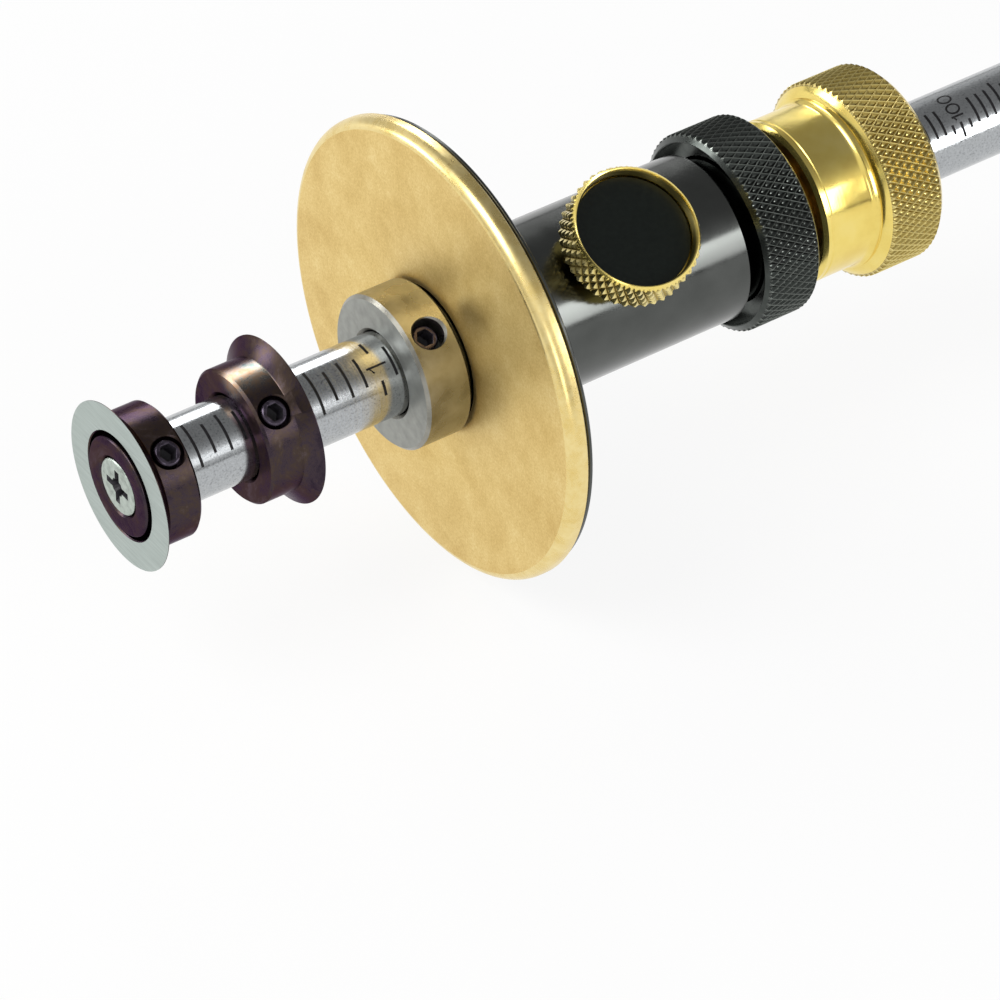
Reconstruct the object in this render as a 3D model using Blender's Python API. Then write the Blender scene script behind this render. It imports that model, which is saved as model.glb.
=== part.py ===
"""Wheel marking gauge with two cutters and a fine adjuster, in metres, +Z up.

The rod lies along X. Its rear end face is the origin, and the cutters are at -X.
A station is a distance along the rod from the ground face of the front cutter.
A turn angle is measured round the rod, from -Y upwards to +Z.
"""

import math

import bmesh
import bpy

MM = 0.001

# Counts of flat sides round the turned pieces
ROD_SIDES = 40
FENCE_SIDES = 400
SMALL_SIDES = 16
EDGE_STEPS = 3

# Turn angle of a piece that shares its carrier's own axis
ALONG_CARRIER = 90.0

# Clearances
RUNNING_CLEARANCE = 0.1 * MM
SEAT_GAP = 0.25 * MM
THREAD_GAP = 0.25 * MM
CUT_OVERRUN = 1.0 * MM

# Rod
ROD_RADIUS = 3.97 * MM
OVERALL_LENGTH = 203.2 * MM
ROD_CHAMFER = 0.4 * MM

# Wheel cutter, the same at the front and at the rear
CUTTER_EDGE_RADIUS = 8.0 * MM
CUTTER_COLLAR_RADIUS = 6.4 * MM
CUTTER_LENGTH = 4.5 * MM
CUTTER_BEVEL_LENGTH = 1.1 * MM
CUTTER_CHAMFER = 0.25 * MM
FRONT_SCREW_STATION = 2.85 * MM
REAR_SCREW_STATION = 2.6 * MM
REAR_CUTTER_GAP = 7.2 * MM
FRONT_SCREW_ANGLE = 53.0
REAR_SCREW_ANGLE = 49.0

# Washer and cross-head screw that hold the front cutter
WASHER_RADIUS = 4.85 * MM
WASHER_THICKNESS = 1.45 * MM
WASHER_PROUD = 0.25 * MM
WASHER_CHAMFER = 0.15 * MM
SCREW_HEAD_RADIUS = 2.7 * MM
SCREW_HEAD_GAP = 0.3 * MM
SCREW_HEAD_RIM = 0.25 * MM
SCREW_SHANK_RADIUS = 1.45 * MM
SCREW_LENGTH = 9.0 * MM
SCREW_RECESS_ARM_SHARE = 0.78
SCREW_RECESS_WIDTH = 0.75 * MM
SCREW_RECESS_DEPTH = 1.3 * MM
SCREW_RECESS_TIP_SHARE = 0.45
SCREW_HOLE_EXTRA = 1.0 * MM
CROSS_LEAN = 0.0

# Socket set screws
SET_SCREW_RADIUS = 1.25 * MM
SET_SCREW_SINK = 0.15 * MM
SET_SCREW_CHAMFER = 0.2 * MM
SET_SCREW_SOCKET_RADIUS = 0.85 * MM
SET_SCREW_SOCKET_DEPTH = 1.1 * MM

# Stop collar in front of the fence
STOP_RADIUS = 7.45 * MM
STOP_LENGTH = 4.75 * MM
STOP_CHAMFER = 0.3 * MM
STOP_GAP = 11.3 * MM
STOP_SCREW_ANGLE = 56.5
STOP_SCREW_SINK = 1.2 * MM

# Brass fence plate
FENCE_RADIUS = 22.225 * MM
FENCE_THICKNESS = 1.85 * MM
FENCE_EDGE_ROUND = 1.1 * MM
FENCE_EDGE_LENGTH = 1.2 * MM
FENCE_REAR_CHAMFER = 0.15 * MM
FENCE_BORE_RELIEF = 0.3 * MM

# Body: spigot, flange, tube and threaded neck in one piece
SPIGOT_RADIUS = 6.5 * MM
FLANGE_SETBACK = 0.325 * MM
FLANGE_RIM = 0.4 * MM
FLANGE_CHAMFER = 0.1 * MM
HUB_STEP = 1.45 * MM
HUB_LENGTH = 3.8 * MM
HUB_FILLET = 1.3 * MM
TUBE_RADIUS = 8.15 * MM
TUBE_CHAMFER = 0.3 * MM
BODY_LENGTH = 28.15 * MM
NECK_RADIUS = 7.0 * MM
NECK_LENGTH = 3.9 * MM
NECK_RELIEF_LENGTH = 0.6 * MM
NECK_RELIEF_DEPTH = 0.3 * MM
NECK_CHAMFER = 0.2 * MM

# Rubber ring in the body's bore, which drags on the rod
O_RING_SECTION_RADIUS = 0.66 * MM
O_RING_GROOVE_WIDTH = 1.6 * MM
O_RING_STATION = 2.8 * MM
O_RING_SECTION_SIDES = 8

# Lock knob, its black face disc, and the pad that it presses on the rod
LOCK_ANGLE = 57.5
LOCK_SETBACK = 12.1 * MM
LOCK_HOLE_WALL = 0.8 * MM
KNOB_RADIUS = 6.2 * MM
KNOB_GAP = 0.7 * MM
KNOB_HEIGHT = 3.6 * MM
KNOB_CHAMFER = 0.3 * MM
KNOB_RIM = 0.6 * MM
KNOB_DISC_SINK = 1.05 * MM
KNOB_DISC_THICKNESS = 0.5 * MM
KNOB_SHANK_RADIUS = 1.95 * MM
PAD_RADIUS = 1.85 * MM
PAD_THICKNESS = 1.18 * MM
PAD_CHAMFER = 0.2 * MM

# Adjuster ring, threaded on the neck and captive on the collet
RING_RADIUS = 9.75 * MM
RING_LENGTH = 5.9 * MM
RING_GAP = 0.75 * MM
RING_MOUTH_RADIUS = 8.95 * MM
RING_MOUTH_DEPTH = 1.4 * MM
RING_LAND = 0.12 * MM
RING_BEVEL_LENGTH = 0.65 * MM
RING_REAR_CHAMFER = 0.25 * MM
RING_WEB = 1.1 * MM
ADJUST_FORWARD = 1.45 * MM
ADJUST_BACK = 1.15 * MM

# Collet, which slides in the body, carries the ring and grips the rod
COLLET_RADIUS = 5.3 * MM
COLLET_SHOULDER_RADIUS = 5.85 * MM
COLLET_SHOULDER_LENGTH = 0.8 * MM
COLLET_NOSE_RADIUS = 4.75 * MM
COLLET_NOSE_LENGTH = 2.5 * MM
COLLET_CHAMFER = 0.2 * MM
COLLET_SLOT_WIDTH = 0.8 * MM
COLLET_SLOT_LENGTH = 7.0 * MM

# Guide pin, pressed in the body, that keeps the collet from turning
PIN_RADIUS = 0.75 * MM
PIN_SINK = 0.2 * MM
PIN_SLOT_WALL = 0.15 * MM
PIN_SLOT_DEPTH = 0.7 * MM

# Thrust washer and split retaining ring behind the adjuster ring
THRUST_OUTER_RADIUS = 7.2 * MM
THRUST_THICKNESS = 0.4 * MM
CLIP_OUTER_RADIUS = 6.4 * MM
CLIP_THICKNESS = 0.5 * MM
CLIP_GROOVE_DEPTH = 0.45 * MM
CLIP_SLOT_WIDTH = 1.6 * MM

# Brass clamp nut: smooth neck and knurled wheel
NUT_GAP = 1.95 * MM
NUT_NECK_RADIUS = 8.05 * MM
NUT_NECK_LENGTH = 5.75 * MM
NUT_NECK_CHAMFER = 0.5 * MM
NUT_STEP = 0.35 * MM
NUT_WHEEL_RADIUS = 9.67 * MM
NUT_WHEEL_LENGTH = 7.0 * MM
NUT_WHEEL_BEVEL = 1.0 * MM
NUT_WHEEL_CHAMFER = 0.6 * MM
NUT_EXIT_CHAMFER = 0.3 * MM
NUT_END_WALL = 2.0 * MM

# Radii and stations that follow from the sizes above
BORE_RADIUS = ROD_RADIUS + RUNNING_CLEARANCE
SCREW_HOLE_RADIUS = SET_SCREW_RADIUS + THREAD_GAP
WASHER_SINK = WASHER_THICKNESS - WASHER_PROUD
ROD_FRONT = WASHER_SINK + 2 * SEAT_GAP
ROD_LENGTH = OVERALL_LENGTH - ROD_FRONT
REAR_CUTTER_FACE = CUTTER_LENGTH + REAR_CUTTER_GAP + CUTTER_LENGTH
STOP_FRONT = REAR_CUTTER_FACE + STOP_GAP
FENCE_FACE = STOP_FRONT + STOP_LENGTH + SEAT_GAP
FENCE_CLEAR_RADIUS = STOP_RADIUS + SEAT_GAP
FLANGE_FRONT = FENCE_THICKNESS + SEAT_GAP
FLANGE_RADIUS = FENCE_RADIUS - FLANGE_SETBACK
TUBE_END = FLANGE_FRONT + BODY_LENGTH
NECK_END = TUBE_END + NECK_LENGTH
RING_FRONT = TUBE_END + RING_GAP
RING_REAR = RING_FRONT + RING_LENGTH
RING_WEB_FRONT = RING_REAR - RING_WEB
NUT_FRONT = RING_REAR + NUT_GAP
SHOULDER_REAR = RING_WEB_FRONT - SEAT_GAP
SHOULDER_FRONT = SHOULDER_REAR - COLLET_SHOULDER_LENGTH
HUB_RADIUS = TUBE_RADIUS + HUB_STEP
KNOB_BOTTOM = TUBE_RADIUS + KNOB_GAP
KNOB_STATION = TUBE_END - LOCK_SETBACK
LOCK_HOLE_RADIUS = KNOB_SHANK_RADIUS + THREAD_GAP
GUIDE_FLOOR = KNOB_STATION + LOCK_HOLE_RADIUS + LOCK_HOLE_WALL
COLLET_FRONT = GUIDE_FLOOR + SEAT_GAP + ADJUST_FORWARD
PIN_SLOT_FRONT = COLLET_FRONT + PIN_SLOT_WALL
PIN_CENTRE = PIN_SLOT_FRONT + SEAT_GAP + ADJUST_BACK + PIN_RADIUS
PIN_SLOT_REAR = PIN_CENTRE + PIN_RADIUS + ADJUST_FORWARD + SEAT_GAP
THRUST_FRONT = RING_REAR + RUNNING_CLEARANCE
CLIP_FRONT = THRUST_FRONT + THRUST_THICKNESS + RUNNING_CLEARANCE
NUT_LENGTH = NUT_NECK_LENGTH + NUT_WHEEL_LENGTH
COLLET_REAR = NUT_FRONT + NUT_LENGTH - NUT_END_WALL - SEAT_GAP
GUIDE_BORE_RADIUS = COLLET_RADIUS + RUNNING_CLEARANCE


def clear_scene():
    for obj in list(bpy.data.objects):
        bpy.data.objects.remove(obj, do_unlink=True)


def make_material(name, colour, roughness, metallic):
    material = bpy.data.materials.new(name)
    material.use_nodes = True
    shader = material.node_tree.nodes["Principled BSDF"]
    shader.inputs["Base Color"].default_value = (*colour, 1.0)
    shader.inputs["Roughness"].default_value = roughness
    shader.inputs["Metallic"].default_value = metallic
    return material


def make_empty(name, parent, station):
    empty = bpy.data.objects.new(name, None)
    bpy.context.scene.collection.objects.link(empty)
    empty.parent = parent
    empty.location = (station, 0.0, 0.0)
    return empty


def finish_object(bm, name, material, parent, station, turn_angle):
    """Makes an object from the mesh. Its origin is on the rod's axis, or on its own joint's axis."""
    bmesh.ops.recalc_face_normals(bm, faces=bm.faces)
    mesh = bpy.data.meshes.new(name)
    bm.to_mesh(mesh)
    bm.free()
    mesh.shade_smooth()
    mesh.set_sharp_from_angle(angle=math.radians(25))
    obj = bpy.data.objects.new(name, mesh)
    bpy.context.scene.collection.objects.link(obj)
    if material is not None:
        mesh.materials.append(material)
    obj.parent = parent
    obj.location = (station, 0.0, 0.0)
    if turn_angle is not None:
        obj.rotation_euler = (math.radians(90.0 - turn_angle), 0.0, 0.0)
    return obj


def make_turned(name, outline, sides, material, parent, station, turn_angle=None):
    """Turns a closed outline of (along, radius) points.

    With no turn angle the turning axis is the rod's, X. With one, it is square to the
    rod and points that way round it.
    """
    bm = bmesh.new()
    rings = []
    for along, radius in outline:
        count = sides if radius > 0.0 else 1
        ring = []
        for step in range(count):
            angle = 2.0 * math.pi * step / count
            across = radius * math.cos(angle)
            up = radius * math.sin(angle)
            spot = (along, across, up) if turn_angle is None else (across, up, along)
            ring.append(bm.verts.new(spot))
        rings.append(ring)
    for first, second in zip(rings, rings[1:] + rings[:1]):
        if len(first) == 1 and len(second) == 1:
            continue
        for step in range(sides):
            after = (step + 1) % sides
            corners = []
            for ring, place in ((first, step), (first, after), (second, after), (second, step)):
                vert = ring[place % len(ring)]
                if vert not in corners:
                    corners.append(vert)
            bm.faces.new(corners)
    return finish_object(bm, name, material, parent, station, turn_angle)


def make_prism(name, outline, low, high, parent, station, turn_angle=None, tip_share=1.0):
    """Makes a cutting prism of a flat outline, from low to high along its axis. Its low end is drawn in."""
    bm = bmesh.new()
    rings = []
    for along, share in ((low, tip_share), (high, 1.0)):
        ring = []
        for across, up in outline:
            spot = (across * share, up * share, along)
            if turn_angle is None:
                spot = (along, across * share, up * share)
            ring.append(bm.verts.new(spot))
        rings.append(ring)
    bm.faces.new(rings[0])
    bm.faces.new(rings[1])
    for step in range(len(outline)):
        after = (step + 1) % len(outline)
        bm.faces.new((rings[0][step], rings[0][after], rings[1][after], rings[1][step]))
    return finish_object(bm, name, None, parent, station, turn_angle)


def box_outline(width, height):
    return [
        (-width / 2, -height / 2),
        (width / 2, -height / 2),
        (width / 2, height / 2),
        (-width / 2, height / 2),
    ]


def polygon_outline(radius, sides):
    angles = [2.0 * math.pi * step / sides for step in range(sides)]
    return [(radius * math.cos(angle), radius * math.sin(angle)) for angle in angles]


def cross_outline(arm, width, lean):
    """Outline of a cross of four arms, leaned by an angle in degrees."""
    half = width / 2
    arm_points = [(half, half), (arm, half), (arm, -half)]
    points = []
    for quarter in range(4):
        angle = math.radians(lean - 90.0 * quarter)
        for along, across in arm_points:
            turned_x = along * math.cos(angle) - across * math.sin(angle)
            turned_y = along * math.sin(angle) + across * math.cos(angle)
            points.append((turned_x, turned_y))
    return points


def round_outline(centre_along, centre_radius, radius, sides):
    spots = polygon_outline(radius, sides)
    return [(centre_along + along, centre_radius + out) for along, out in spots]


def cut(target, cutter):
    cutter.hide_render = True
    cutter.display_type = "WIRE"
    modifier = target.modifiers.new(cutter.name, "BOOLEAN")
    modifier.operation = "DIFFERENCE"
    modifier.object = cutter


def cut_round_hole(target, name, radius, low, high, station, turn_angle):
    outline = [(low, 0.0), (low, radius), (high, radius), (high, 0.0)]
    hole = make_turned(name, outline, SMALL_SIDES, None, target, station, turn_angle)
    cut(target, hole)


def add_set_screw(name, carrier, carrier_radius, sink, station, turn_angle, material):
    """Cuts the threaded hole in a collar and puts a socket set screw in it, just off the rod."""
    low = ROD_RADIUS + SEAT_GAP
    top = carrier_radius - sink
    high = carrier_radius + CUT_OVERRUN
    cut_round_hole(carrier, name + "_hole", SCREW_HOLE_RADIUS, 0.0, high, station, turn_angle)
    outline = [
        (low, 0.0),
        (low, SET_SCREW_RADIUS - SET_SCREW_CHAMFER),
        (low + SET_SCREW_CHAMFER, SET_SCREW_RADIUS),
        (top - SET_SCREW_CHAMFER / 2, SET_SCREW_RADIUS),
        (top, SET_SCREW_RADIUS - SET_SCREW_CHAMFER / 2),
        (top, 0.0),
    ]
    screw = make_turned(name, outline, SMALL_SIDES, material, carrier, station, turn_angle)
    hexagon = polygon_outline(SET_SCREW_SOCKET_RADIUS, 6)
    floor = max(top - SET_SCREW_SOCKET_DEPTH, low + SET_SCREW_CHAMFER)
    socket = make_prism(name + "_socket", hexagon, floor, high, carrier, station, turn_angle)
    cut(screw, socket)
    return screw


def make_cutter(name, tool, face_station, back, screw_station, screw_angle, counterbored, materials):
    """A hardened disc with one ground face and a bevel behind it, in one piece with its collar.

    The body runs from the ground face at 0 towards back, +1 or -1 along the rod.
    """
    outline = [(0.0, BORE_RADIUS + CUTTER_CHAMFER), (0.0, CUTTER_EDGE_RADIUS)]
    if counterbored:
        seat_radius = WASHER_RADIUS + SEAT_GAP
        seat_depth = WASHER_SINK + SEAT_GAP
        outline = [
            (seat_depth, BORE_RADIUS),
            (seat_depth, seat_radius),
            (0.0, seat_radius),
            (0.0, CUTTER_EDGE_RADIUS),
        ]
    outline.append((CUTTER_BEVEL_LENGTH, CUTTER_COLLAR_RADIUS))
    outline.append((CUTTER_LENGTH - CUTTER_CHAMFER, CUTTER_COLLAR_RADIUS))
    outline.append((CUTTER_LENGTH, CUTTER_COLLAR_RADIUS - CUTTER_CHAMFER))
    outline.append((CUTTER_LENGTH, BORE_RADIUS + CUTTER_CHAMFER))
    outline.append((CUTTER_LENGTH - CUTTER_CHAMFER, BORE_RADIUS))
    if not counterbored:
        outline.append((CUTTER_CHAMFER, BORE_RADIUS))
    outline = [(along * back, radius) for along, radius in outline]
    cutter = make_turned(name, outline, ROD_SIDES, materials["black_steel"], tool, face_station)
    add_set_screw(
        name + "_set_screw",
        cutter,
        CUTTER_COLLAR_RADIUS,
        SET_SCREW_SINK,
        screw_station * back,
        screw_angle,
        materials["screw_steel"],
    )
    return cutter


def make_rod(tool, materials):
    outline = [
        (0.0, 0.0),
        (0.0, ROD_RADIUS - ROD_CHAMFER),
        (ROD_CHAMFER, ROD_RADIUS),
        (ROD_LENGTH - ROD_CHAMFER, ROD_RADIUS),
        (ROD_LENGTH, ROD_RADIUS - ROD_CHAMFER),
        (ROD_LENGTH, 0.0),
    ]
    rod = make_turned("rod", outline, ROD_SIDES, materials["rod_steel"], tool, ROD_FRONT)
    hole_radius = SCREW_SHANK_RADIUS + THREAD_GAP
    depth = SCREW_LENGTH + SCREW_HOLE_EXTRA
    hole_outline = [(-CUT_OVERRUN, 0.0), (-CUT_OVERRUN, hole_radius), (depth, hole_radius), (depth, 0.0)]
    hole = make_turned("rod_tapped_hole", hole_outline, SMALL_SIDES, None, rod, 0.0)
    cut(rod, hole)


def make_cutter_fastening(tool, materials):
    """The countersunk washer in the front cutter's face, and the cross-head screw through it."""
    rim_radius = SCREW_HEAD_RADIUS + SCREW_HEAD_GAP
    hole_radius = SCREW_SHANK_RADIUS + SCREW_HEAD_GAP
    cone_depth = WASHER_THICKNESS - SCREW_HEAD_RIM
    washer_outline = [
        (0.0, rim_radius),
        (0.0, WASHER_RADIUS - WASHER_CHAMFER),
        (WASHER_CHAMFER, WASHER_RADIUS),
        (WASHER_THICKNESS, WASHER_RADIUS),
        (WASHER_THICKNESS, hole_radius),
        (cone_depth, hole_radius),
        (SCREW_HEAD_RIM + SCREW_HEAD_GAP, rim_radius),
    ]
    make_turned("cutter_washer", washer_outline, ROD_SIDES, materials["black_steel"], tool, -WASHER_PROUD)
    screw_end = ROD_FRONT + WASHER_PROUD + SCREW_LENGTH
    shank_start = cone_depth - SCREW_HEAD_GAP / 2
    screw_outline = [
        (0.0, 0.0),
        (0.0, SCREW_HEAD_RADIUS),
        (SCREW_HEAD_RIM, SCREW_HEAD_RADIUS),
        (shank_start, SCREW_SHANK_RADIUS),
        (screw_end, SCREW_SHANK_RADIUS),
        (screw_end, 0.0),
    ]
    steel = materials["screw_steel"]
    screw = make_turned("cutter_screw", screw_outline, SMALL_SIDES, steel, tool, -WASHER_PROUD)
    recess = make_prism(
        "cutter_screw_recess",
        cross_outline(SCREW_HEAD_RADIUS * SCREW_RECESS_ARM_SHARE, SCREW_RECESS_WIDTH, CROSS_LEAN),
        SCREW_RECESS_DEPTH,
        -SCREW_HEAD_RIM,
        tool,
        -WASHER_PROUD,
        tip_share=SCREW_RECESS_TIP_SHARE,
    )
    cut(screw, recess)


def make_stop_collar(tool, materials):
    outline = [
        (0.0, BORE_RADIUS + STOP_CHAMFER),
        (0.0, STOP_RADIUS - STOP_CHAMFER),
        (STOP_CHAMFER, STOP_RADIUS),
        (STOP_LENGTH - STOP_CHAMFER, STOP_RADIUS),
        (STOP_LENGTH, STOP_RADIUS - STOP_CHAMFER),
        (STOP_LENGTH, BORE_RADIUS + STOP_CHAMFER),
        (STOP_LENGTH - STOP_CHAMFER, BORE_RADIUS),
        (STOP_CHAMFER, BORE_RADIUS),
    ]
    collar = make_turned("stop_collar", outline, ROD_SIDES, materials["bright_steel"], tool, STOP_FRONT)
    add_set_screw(
        "stop_collar_set_screw",
        collar,
        STOP_RADIUS,
        STOP_SCREW_SINK,
        STOP_LENGTH / 2,
        STOP_SCREW_ANGLE,
        materials["screw_steel"],
    )


def make_fence_plate(head, materials):
    """The brass disc that bears on the work. Its front edge is rounded and its bore relieved."""
    bore = SPIGOT_RADIUS + SEAT_GAP
    outline = [(FENCE_THICKNESS, bore), (FENCE_BORE_RELIEF, bore), (0.0, FENCE_CLEAR_RADIUS)]
    for step in range(EDGE_STEPS + 1):
        angle = math.radians(90.0 * step / EDGE_STEPS)
        along = FENCE_EDGE_LENGTH * (1.0 - math.cos(angle))
        radius = FENCE_RADIUS - FENCE_EDGE_ROUND * (1.0 - math.sin(angle))
        outline.append((along, radius))
    outline.append((FENCE_THICKNESS - FENCE_REAR_CHAMFER, FENCE_RADIUS))
    outline.append((FENCE_THICKNESS, FENCE_RADIUS - FENCE_REAR_CHAMFER))
    make_turned("fence_plate", outline, FENCE_SIDES, materials["fence_brass"], head, 0.0)


def make_body(head, materials):
    """Spigot, flange, tube and threaded neck, bored for the rod and counterbored for the collet."""
    hub_end = FLANGE_FRONT + HUB_LENGTH
    groove_front = FLANGE_FRONT + O_RING_STATION - O_RING_GROOVE_WIDTH / 2
    groove_rear = groove_front + O_RING_GROOVE_WIDTH
    groove_radius = BORE_RADIUS + 2 * O_RING_SECTION_RADIUS
    relief_radius = NECK_RADIUS - NECK_RELIEF_DEPTH
    mouth_radius = COLLET_SHOULDER_RADIUS + SEAT_GAP
    mouth_floor = SHOULDER_FRONT - ADJUST_FORWARD - SEAT_GAP
    outline = [
        (RUNNING_CLEARANCE, BORE_RADIUS),
        (RUNNING_CLEARANCE, SPIGOT_RADIUS),
        (FLANGE_FRONT, SPIGOT_RADIUS),
        (FLANGE_FRONT, FLANGE_RADIUS - FLANGE_CHAMFER),
        (FLANGE_FRONT + FLANGE_CHAMFER, FLANGE_RADIUS),
        (FLANGE_FRONT + FLANGE_RIM - FLANGE_CHAMFER, FLANGE_RADIUS),
        (FLANGE_FRONT + FLANGE_RIM, FLANGE_RADIUS - FLANGE_CHAMFER),
        (hub_end, HUB_RADIUS),
        (hub_end + HUB_FILLET, TUBE_RADIUS),
        (TUBE_END - TUBE_CHAMFER, TUBE_RADIUS),
        (TUBE_END, TUBE_RADIUS - TUBE_CHAMFER),
        (TUBE_END, relief_radius),
        (TUBE_END + NECK_RELIEF_LENGTH, relief_radius),
        (TUBE_END + NECK_RELIEF_LENGTH, NECK_RADIUS),
        (NECK_END - NECK_CHAMFER, NECK_RADIUS),
        (NECK_END, NECK_RADIUS - NECK_CHAMFER),
        (NECK_END, mouth_radius),
        (mouth_floor, mouth_radius),
        (mouth_floor, GUIDE_BORE_RADIUS),
        (GUIDE_FLOOR, GUIDE_BORE_RADIUS),
        (GUIDE_FLOOR, BORE_RADIUS),
        (groove_rear, BORE_RADIUS),
        (groove_rear, groove_radius),
        (groove_front, groove_radius),
        (groove_front, BORE_RADIUS),
    ]
    body = make_turned("fence_body", outline, ROD_SIDES, materials["black_aluminium"], head, 0.0)
    hole_top = TUBE_RADIUS + CUT_OVERRUN
    cut_round_hole(body, "lock_hole", LOCK_HOLE_RADIUS, 0.0, hole_top, KNOB_STATION, LOCK_ANGLE)
    pin_hole_radius = PIN_RADIUS + RUNNING_CLEARANCE
    cut_round_hole(body, "pin_hole", pin_hole_radius, 0.0, hole_top, PIN_CENTRE, LOCK_ANGLE + 180.0)
    section_radius = O_RING_SECTION_RADIUS - RUNNING_CLEARANCE / 4
    ring_radius = BORE_RADIUS + O_RING_SECTION_RADIUS
    ring_outline = round_outline(0.0, ring_radius, section_radius, O_RING_SECTION_SIDES)
    ring_station = (groove_front + groove_rear) / 2
    make_turned("rod_o_ring", ring_outline, ROD_SIDES, materials["rubber"], head, ring_station)


def make_guide_pin(head, materials):
    low = COLLET_RADIUS - PIN_SLOT_DEPTH + SEAT_GAP
    top = TUBE_RADIUS - PIN_SINK
    outline = [(low, 0.0), (low, PIN_RADIUS), (top, PIN_RADIUS), (top, 0.0)]
    steel = materials["screw_steel"]
    make_turned("guide_pin", outline, SMALL_SIDES, steel, head, PIN_CENTRE, LOCK_ANGLE + 180.0)


def make_lock_knob(head, materials):
    """The side knob with its threaded shank, the black disc in its face, and the loose pad under it."""
    top = KNOB_BOTTOM + KNOB_HEIGHT
    recess_radius = KNOB_RADIUS - KNOB_RIM
    disc_top = top - KNOB_DISC_SINK
    disc_low = disc_top - KNOB_DISC_THICKNESS
    floor = disc_low - SEAT_GAP
    pad_low = ROD_RADIUS + SEAT_GAP
    pad_top = pad_low + PAD_THICKNESS
    shank_low = pad_top + SEAT_GAP
    knob_outline = [
        (shank_low, 0.0),
        (shank_low, KNOB_SHANK_RADIUS),
        (KNOB_BOTTOM, KNOB_SHANK_RADIUS),
        (KNOB_BOTTOM, KNOB_RADIUS - KNOB_CHAMFER),
        (KNOB_BOTTOM + KNOB_CHAMFER, KNOB_RADIUS),
        (top - KNOB_CHAMFER / 2, KNOB_RADIUS),
        (top, KNOB_RADIUS - KNOB_CHAMFER / 2),
        (top, recess_radius),
        (floor, recess_radius),
        (floor, 0.0),
    ]
    brass = materials["brass"]
    knob = make_turned("lock_knob", knob_outline, ROD_SIDES, brass, head, KNOB_STATION, LOCK_ANGLE)
    disc_radius = recess_radius - RUNNING_CLEARANCE
    disc_outline = [(disc_low, 0.0), (disc_low, disc_radius), (disc_top, disc_radius), (disc_top, 0.0)]
    plastic = materials["black_plastic"]
    make_turned("lock_knob_disc", disc_outline, ROD_SIDES, plastic, knob, 0.0, ALONG_CARRIER)
    pad_outline = [
        (pad_low, 0.0),
        (pad_low, PAD_RADIUS - PAD_CHAMFER),
        (pad_low + PAD_CHAMFER, PAD_RADIUS),
        (pad_top, PAD_RADIUS),
        (pad_top, 0.0),
    ]
    make_turned("lock_pad", pad_outline, SMALL_SIDES, materials["pad_nylon"], head, KNOB_STATION, LOCK_ANGLE)


def make_adjuster_ring(head, materials):
    """The knurled ring. Its thread runs on the body's neck and its rear web turns on the collet."""
    land_radius = RING_MOUTH_RADIUS + RING_LAND
    thread_radius = NECK_RADIUS + THREAD_GAP
    web_radius = COLLET_RADIUS + SEAT_GAP
    mouth_floor = RING_FRONT + RING_MOUTH_DEPTH
    outline = [
        (RING_FRONT, RING_MOUTH_RADIUS),
        (RING_FRONT, land_radius),
        (RING_FRONT + RING_BEVEL_LENGTH, RING_RADIUS),
        (RING_REAR - RING_REAR_CHAMFER, RING_RADIUS),
        (RING_REAR, RING_RADIUS - RING_REAR_CHAMFER),
        (RING_REAR, web_radius),
        (RING_WEB_FRONT, web_radius),
        (RING_WEB_FRONT, thread_radius),
        (mouth_floor, thread_radius),
        (mouth_floor, RING_MOUTH_RADIUS),
    ]
    make_turned("adjuster_ring", outline, ROD_SIDES, materials["black_aluminium"], head, 0.0)


def make_collet(head, materials):
    """The sleeve that carries the ring in front and grips the rod with four sprung fingers behind."""
    groove_radius = COLLET_RADIUS - CLIP_GROOVE_DEPTH
    groove_front = CLIP_FRONT - RUNNING_CLEARANCE / 2
    groove_rear = CLIP_FRONT + CLIP_THICKNESS + RUNNING_CLEARANCE / 2
    outline = [
        (COLLET_FRONT, BORE_RADIUS),
        (COLLET_FRONT, COLLET_RADIUS - COLLET_CHAMFER),
        (COLLET_FRONT + COLLET_CHAMFER, COLLET_RADIUS),
        (SHOULDER_FRONT, COLLET_RADIUS),
        (SHOULDER_FRONT, COLLET_SHOULDER_RADIUS),
        (SHOULDER_REAR, COLLET_SHOULDER_RADIUS),
        (SHOULDER_REAR, COLLET_RADIUS),
        (groove_front, COLLET_RADIUS),
        (groove_front, groove_radius),
        (groove_rear, groove_radius),
        (groove_rear, COLLET_RADIUS),
        (COLLET_REAR - COLLET_NOSE_LENGTH, COLLET_RADIUS),
        (COLLET_REAR, COLLET_NOSE_RADIUS),
        (COLLET_REAR, BORE_RADIUS),
    ]
    collet = make_turned("collet", outline, ROD_SIDES, materials["collet_brass"], head, 0.0)
    reach = COLLET_RADIUS + CUT_OVERRUN
    slots = make_prism(
        "collet_slots",
        cross_outline(reach, COLLET_SLOT_WIDTH, CROSS_LEAN),
        COLLET_REAR - COLLET_SLOT_LENGTH,
        COLLET_REAR + CUT_OVERRUN,
        head,
        0.0,
    )
    cut(collet, slots)
    slot = make_prism(
        "collet_guide_slot",
        box_outline(PIN_SLOT_REAR - PIN_SLOT_FRONT, 2 * (PIN_RADIUS + RUNNING_CLEARANCE)),
        COLLET_RADIUS - PIN_SLOT_DEPTH,
        reach,
        head,
        (PIN_SLOT_FRONT + PIN_SLOT_REAR) / 2,
        LOCK_ANGLE + 180.0,
    )
    cut(collet, slot)


def make_thrust_washer(head, materials):
    hole = COLLET_RADIUS + SEAT_GAP
    rear = THRUST_FRONT + THRUST_THICKNESS
    outline = [
        (THRUST_FRONT, hole),
        (THRUST_FRONT, THRUST_OUTER_RADIUS),
        (rear, THRUST_OUTER_RADIUS),
        (rear, hole),
    ]
    make_turned("thrust_washer", outline, ROD_SIDES, materials["screw_steel"], head, 0.0)


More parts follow.
